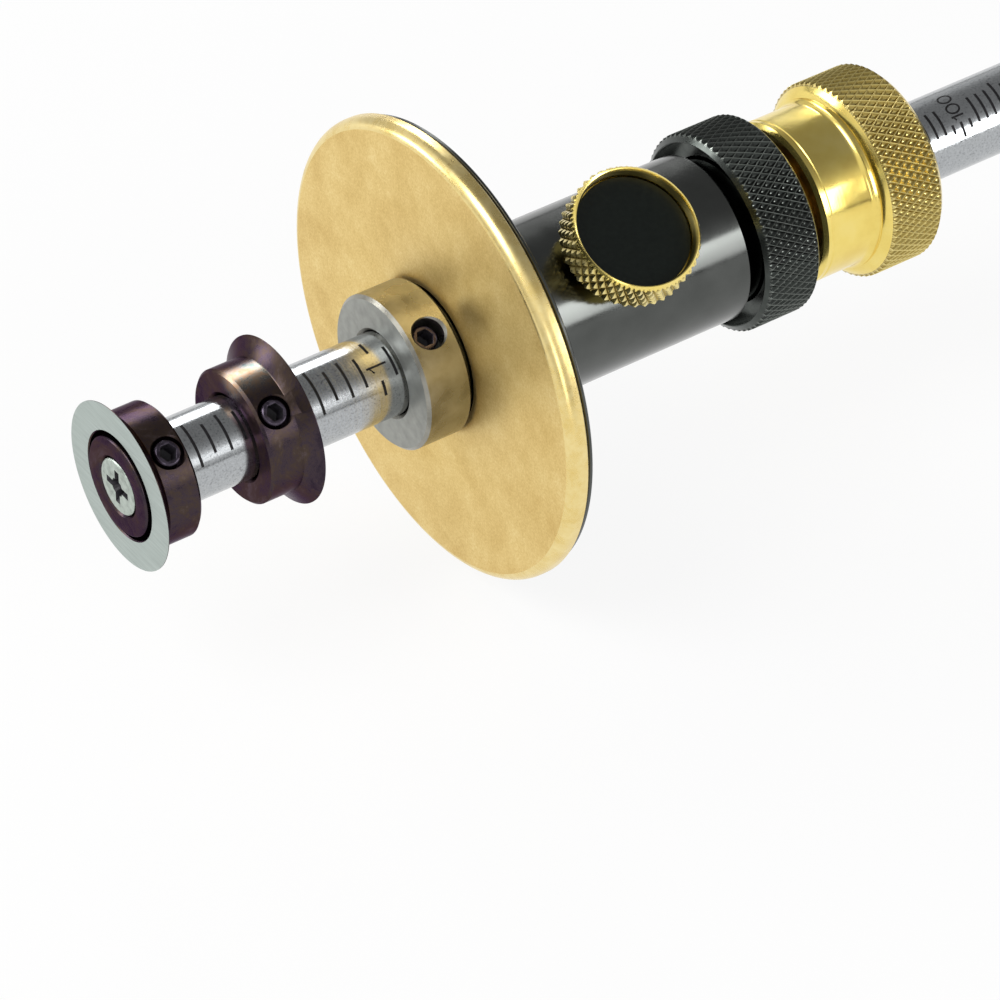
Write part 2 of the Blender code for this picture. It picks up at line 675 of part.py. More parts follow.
def make_retaining_ring(head, materials):
    """A split ring snapped into the collet's groove."""
    inner = COLLET_RADIUS - CLIP_GROOVE_DEPTH + RUNNING_CLEARANCE
    rear = CLIP_FRONT + CLIP_THICKNESS
    outline = [
        (CLIP_FRONT, inner),
        (CLIP_FRONT, CLIP_OUTER_RADIUS),
        (rear, CLIP_OUTER_RADIUS),
        (rear, inner),
    ]
    clip = make_turned("retaining_ring", outline, ROD_SIDES, materials["screw_steel"], head, 0.0)
    gap = make_prism(
        "retaining_ring_gap",
        box_outline(CLIP_THICKNESS + 2 * CUT_OVERRUN, CLIP_SLOT_WIDTH),
        0.0,
        CLIP_OUTER_RADIUS + CUT_OVERRUN,
        head,
        CLIP_FRONT + CLIP_THICKNESS / 2,
        LOCK_ANGLE + 180.0,
    )
    cut(clip, gap)


def make_clamp_nut(head, materials):
    """The brass nut. Its inner cone closes the collet's fingers on the rod."""
    neck_end = NUT_FRONT + NUT_NECK_LENGTH
    step_radius = NUT_NECK_RADIUS + NUT_STEP
    nut_rear = NUT_FRONT + NUT_LENGTH
    exit_radius = BORE_RADIUS + SEAT_GAP
    inner_radius = COLLET_RADIUS + THREAD_GAP
    cone_end_radius = COLLET_NOSE_RADIUS + SEAT_GAP
    cone_start = COLLET_REAR - COLLET_NOSE_LENGTH
    wall = nut_rear - NUT_END_WALL
    outline = [
        (NUT_FRONT, inner_radius),
        (NUT_FRONT, NUT_NECK_RADIUS - NUT_NECK_CHAMFER),
        (NUT_FRONT + NUT_NECK_CHAMFER, NUT_NECK_RADIUS),
        (neck_end - NUT_STEP, NUT_NECK_RADIUS),
        (neck_end, step_radius),
        (neck_end + NUT_STEP, step_radius),
        (neck_end + NUT_WHEEL_BEVEL + NUT_STEP, NUT_WHEEL_RADIUS),
        (nut_rear - NUT_WHEEL_CHAMFER, NUT_WHEEL_RADIUS),
        (nut_rear, NUT_WHEEL_RADIUS - NUT_WHEEL_CHAMFER),
        (nut_rear, exit_radius + NUT_EXIT_CHAMFER),
        (nut_rear - NUT_EXIT_CHAMFER, exit_radius),
        (wall, exit_radius),
        (wall, cone_end_radius),
        (cone_start, inner_radius),
    ]
    make_turned("clamp_nut", outline, ROD_SIDES, materials["brass"], head, 0.0)


def make_materials():
    """Colours are linear: ground steel, black oxide, black anodise, two brasses, nylon and rubber."""
    return {
        "rod_steel": make_material("ground_rod_steel", (0.56, 0.58, 0.60), 0.28, 1.0),
        "bright_steel": make_material("bright_collar_steel", (0.50, 0.49, 0.46), 0.25, 1.0),
        "black_steel": make_material("black_oxide_steel", (0.045, 0.035, 0.035), 0.32, 1.0),
        "screw_steel": make_material("dark_screw_steel", (0.09, 0.085, 0.08), 0.4, 1.0),
        "fence_brass": make_material("satin_fence_brass", (0.66, 0.50, 0.22), 0.4, 1.0),
        "brass": make_material("turned_brass", (0.60, 0.42, 0.13), 0.25, 1.0),
        "collet_brass": make_material("collet_bronze", (0.47, 0.30, 0.14), 0.35, 1.0),
        "black_aluminium": make_material("black_anodised_aluminium", (0.022, 0.023, 0.024), 0.38, 0.6),
        "black_plastic": make_material("black_face_disc", (0.012, 0.013, 0.013), 0.35, 0.0),
        "pad_nylon": make_material("nylon_pad", (0.75, 0.73, 0.66), 0.5, 0.0),
        "rubber": make_material("o_ring_rubber", (0.015, 0.015, 0.015), 0.7, 0.0),
    }


def make_gauge():
    clear_scene()
    materials = make_materials()
    tool = make_empty("gauge", None, -OVERALL_LENGTH)
    make_rod(tool, materials)
    make_cutter(
        "front_cutter",
        tool,
        0.0,
        1.0,
        FRONT_SCREW_STATION,
        FRONT_SCREW_ANGLE,
        True,
        materials,
    )
    make_cutter_fastening(tool, materials)
    make_cutter(
        "rear_cutter",
        tool,
        REAR_CUTTER_FACE,
        -1.0,
        REAR_SCREW_STATION,
        REAR_SCREW_ANGLE,
        False,
        materials,
    )
    make_stop_collar(tool, materials)
    head = make_empty("head", tool, FENCE_FACE)
    make_fence_plate(head, materials)
    make_body(head, materials)
    make_guide_pin(head, materials)
    make_lock_knob(head, materials)
    make_adjuster_ring(head, materials)
    make_collet(head, materials)
    make_thrust_washer(head, materials)
    make_retaining_ring(head, materials)
    make_clamp_nut(head, materials)


make_gauge()
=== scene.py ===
"""Looks for a wheel marking gauge: turned, ground, blackened and knurled pieces on the frame."""

import math

import bmesh
import bpy
import numpy as np
from mathutils import Matrix


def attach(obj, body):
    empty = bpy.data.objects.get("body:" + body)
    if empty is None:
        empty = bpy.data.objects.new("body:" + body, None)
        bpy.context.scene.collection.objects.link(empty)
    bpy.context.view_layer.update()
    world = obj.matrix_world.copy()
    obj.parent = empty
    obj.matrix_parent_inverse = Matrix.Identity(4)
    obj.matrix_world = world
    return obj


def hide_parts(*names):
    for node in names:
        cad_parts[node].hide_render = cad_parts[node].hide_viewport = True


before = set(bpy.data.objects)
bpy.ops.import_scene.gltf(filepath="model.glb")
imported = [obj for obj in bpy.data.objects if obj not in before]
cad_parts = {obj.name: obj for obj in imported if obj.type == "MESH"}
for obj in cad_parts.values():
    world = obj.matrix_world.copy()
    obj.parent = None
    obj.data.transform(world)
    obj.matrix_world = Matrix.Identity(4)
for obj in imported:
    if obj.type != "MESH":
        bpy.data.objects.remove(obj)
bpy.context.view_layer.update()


# === Rod ===
# A 7.9 mm round steel bar, centreless ground and left bright, with a small
# chamfer turned on each end. Every other piece is threaded over it.
MM = 0.001
OVERALL_LENGTH = 203.2
ROD_RADIUS = 3.97
ROD_FRONT = 1.7
ROD_CHAMFER = 0.4


def turn_piece(name, outline, sides, closed=False):
    """Turns a piece along X, as on a lathe, from (station, radius) points in millimetres.

    A ring is extruded and resized from point to point. A closed outline comes back to its
    first point, and an open one has a flat cap at each end.
    """
    bpy.ops.object.select_all(action="DESELECT")
    station, radius = outline[0]
    bpy.ops.mesh.primitive_circle_add(
        vertices=sides,
        radius=radius * MM,
        location=((station - OVERALL_LENGTH) * MM, 0.0, 0.0),
        rotation=(0.0, math.pi / 2, 0.0),
        fill_type="NOTHING" if closed else "NGON",
    )
    piece = bpy.context.object
    piece.name = name
    bpy.ops.object.transform_apply(location=True, rotation=True, scale=True)
    bpy.ops.object.mode_set(mode="EDIT")
    bpy.ops.mesh.select_all(action="SELECT")
    for after, wider in outline[1:] + outline[:1] * closed:
        step = ((after - station) * MM, 0.0, 0.0)
        if closed:
            bpy.ops.mesh.extrude_edges_move(TRANSFORM_OT_translate={"value": step})
        else:
            bpy.ops.mesh.extrude_region_move(TRANSFORM_OT_translate={"value": step})
        share = wider / radius
        middle = ((after - OVERALL_LENGTH) * MM, 0.0, 0.0)
        bpy.ops.transform.resize(value=(1.0, share, share), center_override=middle)
        station, radius = after, wider
    bpy.ops.mesh.select_all(action="SELECT")
    bpy.ops.mesh.remove_doubles(threshold=0.002 * MM)
    bpy.ops.mesh.normals_make_consistent(inside=False)
    bpy.ops.object.mode_set(mode="OBJECT")
    return piece


def work_on(piece, mode="OBJECT"):
    """Selects one piece alone, makes it the active one, and may open it for editing."""
    bpy.ops.object.select_all(action="DESELECT")
    piece.select_set(True)
    bpy.context.view_layer.objects.active = piece
    bpy.ops.object.mode_set(mode=mode)


def finish_piece(piece, finishes, body, nodes, smooth_angle=30.0):
    """Shades a piece, gives it its finishes, and hands it to the frame."""
    work_on(piece)
    bpy.ops.object.shade_smooth_by_angle(angle=math.radians(smooth_angle))
    for finish in finishes:
        piece.data.materials.append(finish)
    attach(piece, body)
    if nodes:
        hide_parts(*nodes)


def from_hex(code):
    """Turns an sRGB hex colour to linear red, green, blue and alpha."""
    parts = [int(code[place : place + 2], 16) / 255 for place in (1, 3, 5)]
    linear = [
        part / 12.92 if part <= 0.04045 else ((part + 0.055) / 1.055) ** 2.4 for part in parts
    ]
    return (*linear, 1.0)


def start_finish(name, metallic, roughness, colour, more=None):
    """Starts a material with its shader's plain values and the place that its patterns read."""
    finish = bpy.data.materials.new(name)
    finish.use_nodes = True
    values = {"Metallic": metallic, "Roughness": roughness, "Base Color": from_hex(colour)}
    for socket, value in (values | (more or {})).items():
        finish.node_tree.nodes["Principled BSDF"].inputs[socket].default_value = value
    add_node(finish, "ShaderNodeTexCoord", {"name": "place"}, {})
    return finish


def add_node(finish, kind, settings, sockets):
    """Adds a node, gives it its own settings, then gives each named socket a value or a link."""
    tree = finish.node_tree
    fresh = tree.nodes.new(kind)
    for name, value in settings.items():
        setattr(fresh, name, value)
    for name, value in sockets.items():
        if isinstance(value, bpy.types.NodeSocket):
            tree.links.new(value, fresh.inputs[name])
        else:
            fresh.inputs[name].default_value = value
    return fresh


def add_noise(finish, scale, detail=2.0, roughness=0.5, distortion=0.0, lean=0.0):
    """Adds a noise pattern of so many patches to the metre, and gives its level.

    Three scales stretch it along X, Y and Z, for marks that run one way or round the piece.
    """
    place = finish.node_tree.nodes["place"].outputs["Object"]
    if isinstance(scale, tuple):
        sockets = {"Vector": place, "Rotation": (lean, 0.0, 0.0), "Scale": scale}
        place = add_node(finish, "ShaderNodeMapping", {}, sockets).outputs["Vector"]
        scale = 1.0
    sockets = {"Vector": place, "Scale": scale, "Detail": detail}
    sockets |= {"Roughness": roughness, "Distortion": distortion}
    return add_node(finish, "ShaderNodeTexNoise", {}, sockets).outputs["Fac"]


def add_ramp(finish, level, stops):
    """Turns a level to a colour, through stops of (level, hex colour or grey level)."""
    ramp = add_node(finish, "ShaderNodeValToRGB", {}, {"Fac": level})
    marks = ramp.color_ramp.elements
    while len(marks) < len(stops):
        marks.new(0.5)
    for mark, (where, colour) in zip(marks, stops):
        mark.position = where
        mark.color = from_hex(colour) if isinstance(colour, str) else (colour, colour, colour, 1.0)
    return ramp.outputs["Color"]


def drive(finish, socket, level):
    """Links a level, a colour or a normal to the finish's shader."""
    shader = finish.node_tree.nodes["Principled BSDF"]
    finish.node_tree.links.new(level, shader.inputs[socket])


def colour_by(finish, level, stops):
    """Colours a finish by a pattern's level, through stops of (level, hex colour)."""
    drive(finish, "Base Color", add_ramp(finish, level, stops))


def roughen_by(finish, level, low, high):
    """Lets a pattern's level move the roughness from low to high."""
    spread = {"From Min": 0.3, "From Max": 0.7, "To Min": low, "To Max": high}
    reach = add_node(finish, "ShaderNodeMapRange", {}, {"Value": level, **spread})
    drive(finish, "Roughness", reach.outputs["Result"])


def raise_by(finish, level, height):
    """Lets a pattern's level raise the surface by a height in millimetres."""
    sockets = {"Height": level, "Strength": 1.0, "Distance": height * MM}
    drive(finish, "Normal", add_node(finish, "ShaderNodeBump", {}, sockets).outputs["Normal"])


# Ground steel: bright and even, with the fine rings that the grinding wheel leaves round it and
# tiny pits. Both are really 0.02 mm wide; here they are 0.15 mm, so that they show.
ground_steel = start_finish("centreless_ground_steel", 1.0, 0.2, "#AAADAF")
grind = add_noise(ground_steel, (6500.0, 150.0, 150.0), 1.0)
specks = add_noise(ground_steel, 5200.0, 2.0, 0.6)
colour_by(ground_steel, specks, [(0.28, "#898B8E"), (0.4, "#A8ABAD"), (0.7, "#B6B9BB")])
roughen_by(ground_steel, grind, 0.13, 0.21)

outline = [
    (ROD_FRONT, ROD_RADIUS - ROD_CHAMFER),
    (ROD_FRONT + ROD_CHAMFER, ROD_RADIUS),
    (OVERALL_LENGTH - ROD_CHAMFER, ROD_RADIUS),
    (OVERALL_LENGTH, ROD_RADIUS - ROD_CHAMFER),
]
rod = turn_piece("ground_rod", outline, 192)
finish_piece(rod, [ground_steel], "rod", ["rod"], 20.0)


# === Scales on the rod ===
# Engraved in the steel and filled with black: sixteenths of an inch from the
# front cutter, and millimetres behind, each with its numbers across the rod.
INCH = 25.4
ARC = math.radians(1.0) * ROD_RADIUS
INCH_SCALE_ANGLE = 55.5
INCH_NUMBER_HEIGHT = 2.05
INCH_ONE_START = -8.0
INCH_NUMBER_START = -11.0
LAST_SIXTEENTH = 48
SIXTEENTH_REACH = 21.0
EIGHTH_REACH = 26.0
QUARTER_REACH = 31.8
INCH_LINE_REACH = 40.8
INCH_LINE_GAP = 20.2
METRIC_SCALE_ANGLE = 57.0
METRIC_OFFSET = -8.78
METRIC_NUMBER_HEIGHT = 1.38
METRIC_NUMBER_START = -5.5
FIRST_MILLIMETRE = 75
LAST_MILLIMETRE = 208
MILLIMETRE_REACH = 19.5
FIVE_REACH = 28.0
SHORT_LINE_LOW = -22.5
SHORT_LINE_HIGH = -9.5
TEN_LINE_LOW = -31.0
FIRST_METRIC_NUMBER = 80
LINE_CUTS = 11
LINE_WIDTH = 0.27
STROKE_WIDTH = 0.26
INLAY_LOW = -0.03
INLAY_HIGH = 0.012
DIGIT_GAP = 0.2
ARC_STEPS = 24

# An engraver's digits, drawn with one stroke, one unit high. A stroke is a row of points, or an arc
# given by its centre, its half width and half height, and the angles that it runs between.
DIGITS = {
    "0": (((0.37, 0.5, 0.37, 0.5, 0, 360),),),
    "1": (((0.27, 0.0), (0.27, 1.0)), ((0.27, 0.86), (0.0, 0.71))),
    "2": (((0.37, 0.69, 0.36, 0.31, 165, -35), (0.02, 0.0), (0.74, 0.0)),),
    "3": (((0.35, 0.76, 0.31, 0.24, 150, -90), (0.35, 0.26, 0.37, 0.26, 90, -150)),),
    "4": (((0.54, 0.0), (0.54, 1.0), (0.0, 0.3), (0.74, 0.3)),),
    "5": (((0.66, 1.0), (0.12, 1.0), (0.07, 0.56), (0.36, 0.32, 0.37, 0.32, 130, -145)),),
    "6": (((0.37, 0.31, 0.36, 0.31, 0, 360),), ((0.68, 0.31, 0.67, 0.69, 95, 178),)),
    "7": (((0.0, 1.0), (0.74, 1.0), (0.25, 0.0)),),
    "8": (((0.37, 0.76, 0.3, 0.24, 0, 360),), ((0.37, 0.26, 0.37, 0.25, 0, 360),)),
    "9": (((0.37, 0.69, 0.36, 0.31, 0, 360),), ((0.06, 0.69, 0.67, 0.69, -2, -85),)),
}


def trace_stroke(stroke):
    """Turns a stroke's points and arcs to one row of points."""
    path = []
    for mark in stroke:
        if len(mark) == 2:
            path.append(mark)
            continue
        across, upward, half_width, half_height, start, end = mark
        for step in range(ARC_STEPS + 1):
            turn = math.radians(start + (end - start) * step / ARC_STEPS)
            spot = (across + half_width * math.cos(turn), upward + half_height * math.sin(turn))
            path.append(spot)
    return path


def engrave_number(number, station, start, height):
    """Engraves a number flat, to read round the rod with its top towards the cutters."""
    curve = bpy.data.curves.new("number", "CURVE")
    curve.dimensions = "3D"
    curve.bevel_depth = STROKE_WIDTH / 2 * MM
    curve.bevel_resolution = 1
    curve.use_fill_caps = True
    left = start * ARC
    for digit in str(number):
        paths = [trace_stroke(stroke) for stroke in DIGITS[digit]]
        for path in paths:
            line = curve.splines.new("POLY")
            line.use_cyclic_u = math.dist(path[0], path[-1]) < 1e-6
            if line.use_cyclic_u:
                path.pop()
            line.points.add(len(path) - 1)
            for knot, (across, upward) in zip(line.points, path):
                along = station - (upward - 0.5) * height
                knot.co = (along * MM, (left + across * height) * MM, 0.0, 1.0)
        width = max(across for path in paths for across, _ in path)
        left += width * height + DIGIT_GAP + STROKE_WIDTH / 2
    engraved = bpy.data.objects.new("number", curve)
    bpy.context.scene.collection.objects.link(engraved)
    work_on(engraved)
    bpy.ops.object.convert(target="MESH")
    engraved = bpy.context.object
    bpy.ops.object.mode_set(mode="EDIT")
    bpy.ops.mesh.select_all(action="SELECT")
    bpy.ops.mesh.remove_doubles(threshold=0.0002 * MM)
    bpy.ops.transform.resize(value=(1.0, 1.0, (INLAY_HIGH - INLAY_LOW) / STROKE_WIDTH))
    bpy.ops.transform.translate(value=(0.0, 0.0, (INLAY_HIGH + INLAY_LOW) / 2 * MM))
    bpy.ops.object.mode_set(mode="OBJECT")
    return engraved


def divide_edges(piece, chosen, cuts):
    """Divides the edges that are chosen by their two corners."""
    work_on(piece, "EDIT")
    bpy.ops.mesh.select_mode(type="EDGE")
    bpy.ops.mesh.select_all(action="DESELECT")
    bpy.ops.object.mode_set(mode="OBJECT")
    spots = piece.data.vertices
    for edge in piece.data.edges:
        edge.select = chosen(*[spots[corner].co for corner in edge.vertices])
    bpy.ops.object.mode_set(mode="EDIT")
    bpy.ops.mesh.subdivide(number_cuts=cuts)
    bpy.ops.object.mode_set(mode="OBJECT")


def engrave_scale(name, lines, numbers, middle):
    """Rules the lines, adds the numbers, and wraps the flat layout round the rod.

    A line is its station and the two angles, about the scale's middle, that it runs between.
    """
    scale = bpy.data.objects.new(name, bpy.data.meshes.new(name))
    bpy.context.scene.collection.objects.link(scale)
    work_on(scale, "EDIT")
    for station, low, high in lines:
        bpy.ops.mesh.primitive_cube_add(
            size=1.0,
            location=(station * MM, (low + high) / 2 * ARC * MM, (INLAY_LOW + INLAY_HIGH) / 2 * MM),
            scale=(LINE_WIDTH * MM, (high - low) * ARC * MM, (INLAY_HIGH - INLAY_LOW) * MM),
        )
    bpy.ops.object.mode_set(mode="OBJECT")
    divide_edges(scale, lambda first, second: abs(first.y - second.y) > LINE_WIDTH * MM, LINE_CUTS)
    engraved = [engrave_number(*number) for number in numbers]
    work_on(scale)
    for number in engraved:
        number.select_set(True)
    bpy.ops.object.join()
    mesh = scale.data
    spots = np.empty(len(mesh.vertices) * 3)
    mesh.vertices.foreach_get("co", spots)
    along, around, out = spots.reshape(-1, 3).T
    angle = math.radians(middle) + around / (ROD_RADIUS * MM)
    reach = ROD_RADIUS * MM + out
    along -= OVERALL_LENGTH * MM
    wrapped = np.stack([along, -reach * np.cos(angle), reach * np.sin(angle)], axis=1)
    mesh.vertices.foreach_set("co", wrapped.ravel())
    mesh.update()
    bpy.ops.object.mode_set(mode="EDIT")
    bpy.ops.mesh.select_all(action="SELECT")
    bpy.ops.mesh.normals_make_consistent(inside=False)
    bpy.ops.object.mode_set(mode="OBJECT")
    finish_piece(scale, [scale_black], "rod", [])


# Filled engraving: black paint in cut marks, dull, with a little grey where it has worn thin.
scale_black = start_finish(
    "black_filled_engraving", 0.0, 0.55, "#151416", {"Specular IOR Level": 0.25}
)
wear = add_noise(scale_black, 2500.0)
colour_by(scale_black, wear, [(0.35, "#09080A"), (0.65, "#1A191C")])

inch_lines = []
for count in range(1, LAST_SIXTEENTH + 1):
    station = count * INCH / 16
    if count % 16 == 0:
        inch_lines.append((station, -INCH_LINE_REACH, -INCH_LINE_GAP))
        inch_lines.append((station, INCH_LINE_GAP, INCH_LINE_REACH))
        continue
    reach = SIXTEENTH_REACH
    if count % 2 == 0:
        reach = EIGHTH_REACH
    if count % 4 == 0:
        reach = QUARTER_REACH
    inch_lines.append((station, -reach, reach))
inch_numbers = [
    (count, count * INCH, INCH_ONE_START if count == 1 else INCH_NUMBER_START, INCH_NUMBER_HEIGHT)
    for count in range(1, LAST_SIXTEENTH // 16 + 1)
]
engrave_scale("inch_scale", inch_lines, inch_numbers, INCH_SCALE_ANGLE)

metric_lines = []
for count in range(FIRST_MILLIMETRE, LAST_MILLIMETRE + 1):
    low, high = -MILLIMETRE_REACH, MILLIMETRE_REACH
    if count % 5 == 0:
        high = FIVE_REACH
    if min(count % 10, 10 - count % 10) <= 1:
        low, high = SHORT_LINE_LOW, SHORT_LINE_HIGH
    if count % 10 == 0:
        low = TEN_LINE_LOW
    metric_lines.append((count + METRIC_OFFSET, low, high))
metric_numbers = [
    (count, count + METRIC_OFFSET, METRIC_NUMBER_START, METRIC_NUMBER_HEIGHT)
    for count in range(FIRST_METRIC_NUMBER, LAST_MILLIMETRE + 1, 10)
]
engrave_scale("metric_scale", metric_lines, metric_numbers, METRIC_SCALE_ANGLE)


# === Wheel cutters ===
# Two hardened steel discs, each turned in one piece with its collar, blackened
# all over, then ground bright on the flat face. A set screw clamps each.
BORE_RADIUS = 4.07
CUTTER_EDGE_RADIUS = 8.0
CUTTER_COLLAR_RADIUS = 6.4
CUTTER_LENGTH = 4.5
CUTTER_BEVEL_LENGTH = 1.1
CUTTER_EDGE_LAND = 0.06
CUTTER_CHAMFER = 0.25
FRONT_SCREW_PLACE = 2.85
REAR_SCREW_PLACE = 2.6
FRONT_SCREW_ANGLE = 53.0
REAR_SCREW_ANGLE = 49.0
REAR_CUTTER_FACE = 16.2
REAR_SCREW_STATION = REAR_CUTTER_FACE - REAR_SCREW_PLACE
WASHER_SEAT_RADIUS = 5.18
WASHER_SEAT_DEPTH = 1.45
WASHER_SEAT_CHAMFER = 0.1
SCREW_HOLE_RADIUS = 1.5
SET_SCREW_RADIUS = 1.25
SET_SCREW_SOCKET = 0.85
SET_SCREW_LOW = 4.22
SET_SCREW_SINK = 0.15
SET_SCREW_SOCKET_DEPTH = 1.7
SET_SCREW_CHAMFER = 0.18
SCREW_MOUTH_DEPTH = 0.28
FINE_EDGE = 0.035
HIGHLIGHT_PATCH_ANGLE = 90.0
HIGHLIGHT_PATCH_SPREAD = 12.0
OXIDE_TINT = {"Specular Tint": (0.5, 0.44, 0.5, 1.0)}
OXIDE_COLOURS = [(0.34, "#2E2731"), (0.46, "#41373E"), (0.55, "#493D35"), (0.66, "#5C5054")]


def ease_edges(piece, width, steps=2, least_angle=25.0):
    """Breaks the sharp edges of a piece with a small round, as a file or a tumbler does."""
    work_on(piece)
    easing = piece.modifiers.new("eased_edges", "BEVEL")
    easing.width = width * MM
    easing.segments = steps
    easing.limit_method = "ANGLE"
    easing.angle_limit = math.radians(least_angle)
    bpy.ops.object.modifier_apply(modifier=easing.name)


def pick_faces(piece, chosen):
    """Gives the second finish to faces chosen by their station, their reach and their X normal."""
    for face in piece.data.polygons:
        station = face.center.x / MM + OVERALL_LENGTH
        reach = math.hypot(face.center.y, face.center.z) / MM
        if chosen(station, reach, face.normal.x):
            face.material_index = 1


def pick_end(piece, end):
    """Gives the second finish to the flat face at one station."""
    pick_faces(piece, lambda station, _, facing: abs(facing) > 0.99 and abs(station - end) < 0.02)


def point_outwards(piece, station, angle):
    """Turns a piece made along X, from the rod's axis, so that it points out at a turn angle."""
    across = math.cos(math.radians(angle))
    up = math.sin(math.radians(angle))
    turn = Matrix(
        (
            (0.0, 1.0, 0.0, (station - OVERALL_LENGTH) * MM),
            (-across, 0.0, up, 0.0),
            (up, 0.0, across, 0.0),
            (0.0, 0.0, 0.0, 1.0),
        )
    )
    home = Matrix.Translation((OVERALL_LENGTH * MM, 0.0, 0.0))
    work_on(piece)
    piece.matrix_world = turn @ home
    bpy.ops.object.transform_apply(location=True, rotation=True, scale=True)


def cut_away(piece, tool):
    """Cuts a tool's shape out of a piece, and clears the tool away."""
    work_on(piece)
    cutting = piece.modifiers.new("cut", "BOOLEAN")
    cutting.operation = "DIFFERENCE"
    cutting.solver = "EXACT"
    cutting.object = tool
    bpy.ops.object.modifier_apply(modifier=cutting.name)
    bpy.data.objects.remove(tool, do_unlink=True)


def drill_screw_hole(piece, surface_radius, station, angle):
    """Drills the set screw's hole through one wall of a collar, and countersinks its mouth."""
    drill = turn_piece(
        "drill",
        [
            (1.0, SCREW_HOLE_RADIUS),
            (surface_radius - SCREW_MOUTH_DEPTH, SCREW_HOLE_RADIUS),
            (surface_radius + 0.6, SCREW_HOLE_RADIUS + 0.7),
        ],
        64,
    )
    point_outwards(drill, station, angle)
    cut_away(piece, drill)


def make_set_screw(name, node, top, station, angle):
    """Makes a socket set screw, a short stud with a hexagon socket, and puts it in its hole."""
    screw = turn_piece(
        name,
        [
            (SET_SCREW_LOW, SET_SCREW_RADIUS - 0.3),
            (SET_SCREW_LOW + 0.2, SET_SCREW_RADIUS),
            (top - SET_SCREW_CHAMFER, SET_SCREW_RADIUS),
            (top, SET_SCREW_RADIUS - SET_SCREW_CHAMFER),
        ],
        48,
    )
    socket_ends = [(top - SET_SCREW_SOCKET_DEPTH, SET_SCREW_SOCKET), (top + 1.0, SET_SCREW_SOCKET)]
    key = turn_piece("hexagon_key", socket_ends, 6)
    cut_away(screw, key)
    floor = top - SET_SCREW_SOCKET_DEPTH - 0.1
    # The socket's faces take the painted shade.
    pick_faces(
        screw,
        lambda height, reach, _: floor < height < top - 0.05 and reach < SET_SCREW_SOCKET,
    )
    ease_edges(screw, FINE_EDGE)
    point_outwards(screw, station, angle)
    finish_piece(screw, [screw_black, socket_painted_shade], node, [node])


# Black oxide on hardened steel: nearly black, oily and half glossy, going from plum brown to olive
# where the heat of hardening has coloured it.
black_oxide = start_finish("black_oxide_on_steel", 1.0, 0.3, "#3E3434", OXIDE_TINT)
heat = add_noise(black_oxide, 170.0, 8.0, 0.84, 0.4)
colour_by(black_oxide, heat, OXIDE_COLOURS)
roughen_by(black_oxide, heat, 0.22, 0.36)
lathe = add_noise(black_oxide, (9000.0, 120.0, 120.0))
raise_by(black_oxide, lathe, 0.004)

# Ground face: the disc after the surface grinder, pale and dull, with faint straight lines.
ground_face = start_finish("surface_ground_disc", 1.0, 0.46, "#AFB9B4")
lines = add_noise(ground_face, (100.0, 300.0, 9000.0), 3.0, lean=0.5)
colour_by(ground_face, lines, [(0.3, "#A6B0AB"), (0.7, "#B9C3BE")])
raise_by(ground_face, lines, 0.002)

# Blackened socket screws: a cooler black than the collars', painted paler to stand for the
# highlight round each screw's rim, under a film of oil.
screw_black = start_finish("blackened_socket_screw", 1.0, 0.3, "#4A444E")
oil = add_noise(screw_black, 1800.0, 3.0)
colour_by(screw_black, oil, [(0.35, "#423C46"), (0.65, "#57505C")])
roughen_by(screw_black, oil, 0.2, 0.38)

# Socket shade: painted shade, near black and matt, in a screw's socket and in the cross-head
# screw's recess.
socket_painted_shade = start_finish("painted_socket_shade", 0.0, 0.55, "#17161A")
shade_mottle = add_noise(socket_painted_shade, 2500.0)
colour_by(socket_painted_shade, shade_mottle, [(0.35, "#0E0D10"), (0.65, "#26232B")])

# Both cutters' outline from the flat face back: the rear cutter is the front one turned round.
cutter_back = [
    (0.0, CUTTER_EDGE_RADIUS),
    (CUTTER_EDGE_LAND, CUTTER_EDGE_RADIUS),
    (CUTTER_BEVEL_LENGTH, CUTTER_COLLAR_RADIUS + 0.05),
    (CUTTER_BEVEL_LENGTH + 0.08, CUTTER_COLLAR_RADIUS),
    (CUTTER_LENGTH - CUTTER_CHAMFER, CUTTER_COLLAR_RADIUS),
    (CUTTER_LENGTH, CUTTER_COLLAR_RADIUS - CUTTER_CHAMFER),
    (CUTTER_LENGTH, BORE_RADIUS + CUTTER_CHAMFER),
    (CUTTER_LENGTH - CUTTER_CHAMFER, BORE_RADIUS),
]
outline = [
    (WASHER_SEAT_DEPTH, BORE_RADIUS),
    (WASHER_SEAT_DEPTH, WASHER_SEAT_RADIUS),
    (WASHER_SEAT_CHAMFER, WASHER_SEAT_RADIUS),
    (0.0, WASHER_SEAT_RADIUS + WASHER_SEAT_CHAMFER),
    *cutter_back,
]
front_cutter = turn_piece("front_wheel_cutter", outline, 160, closed=True)
drill_screw_hole(front_cutter, CUTTER_COLLAR_RADIUS, FRONT_SCREW_PLACE, FRONT_SCREW_ANGLE)
pick_end(front_cutter, 0.0)
finish_piece(
    front_cutter, [black_oxide, ground_face], "front_cutter", ["front_cutter"]
)

make_set_screw(
    "front_socket_screw",
    "front_cutter_set_screw",
    CUTTER_COLLAR_RADIUS - SET_SCREW_SINK,
    FRONT_SCREW_PLACE,
    FRONT_SCREW_ANGLE,
)
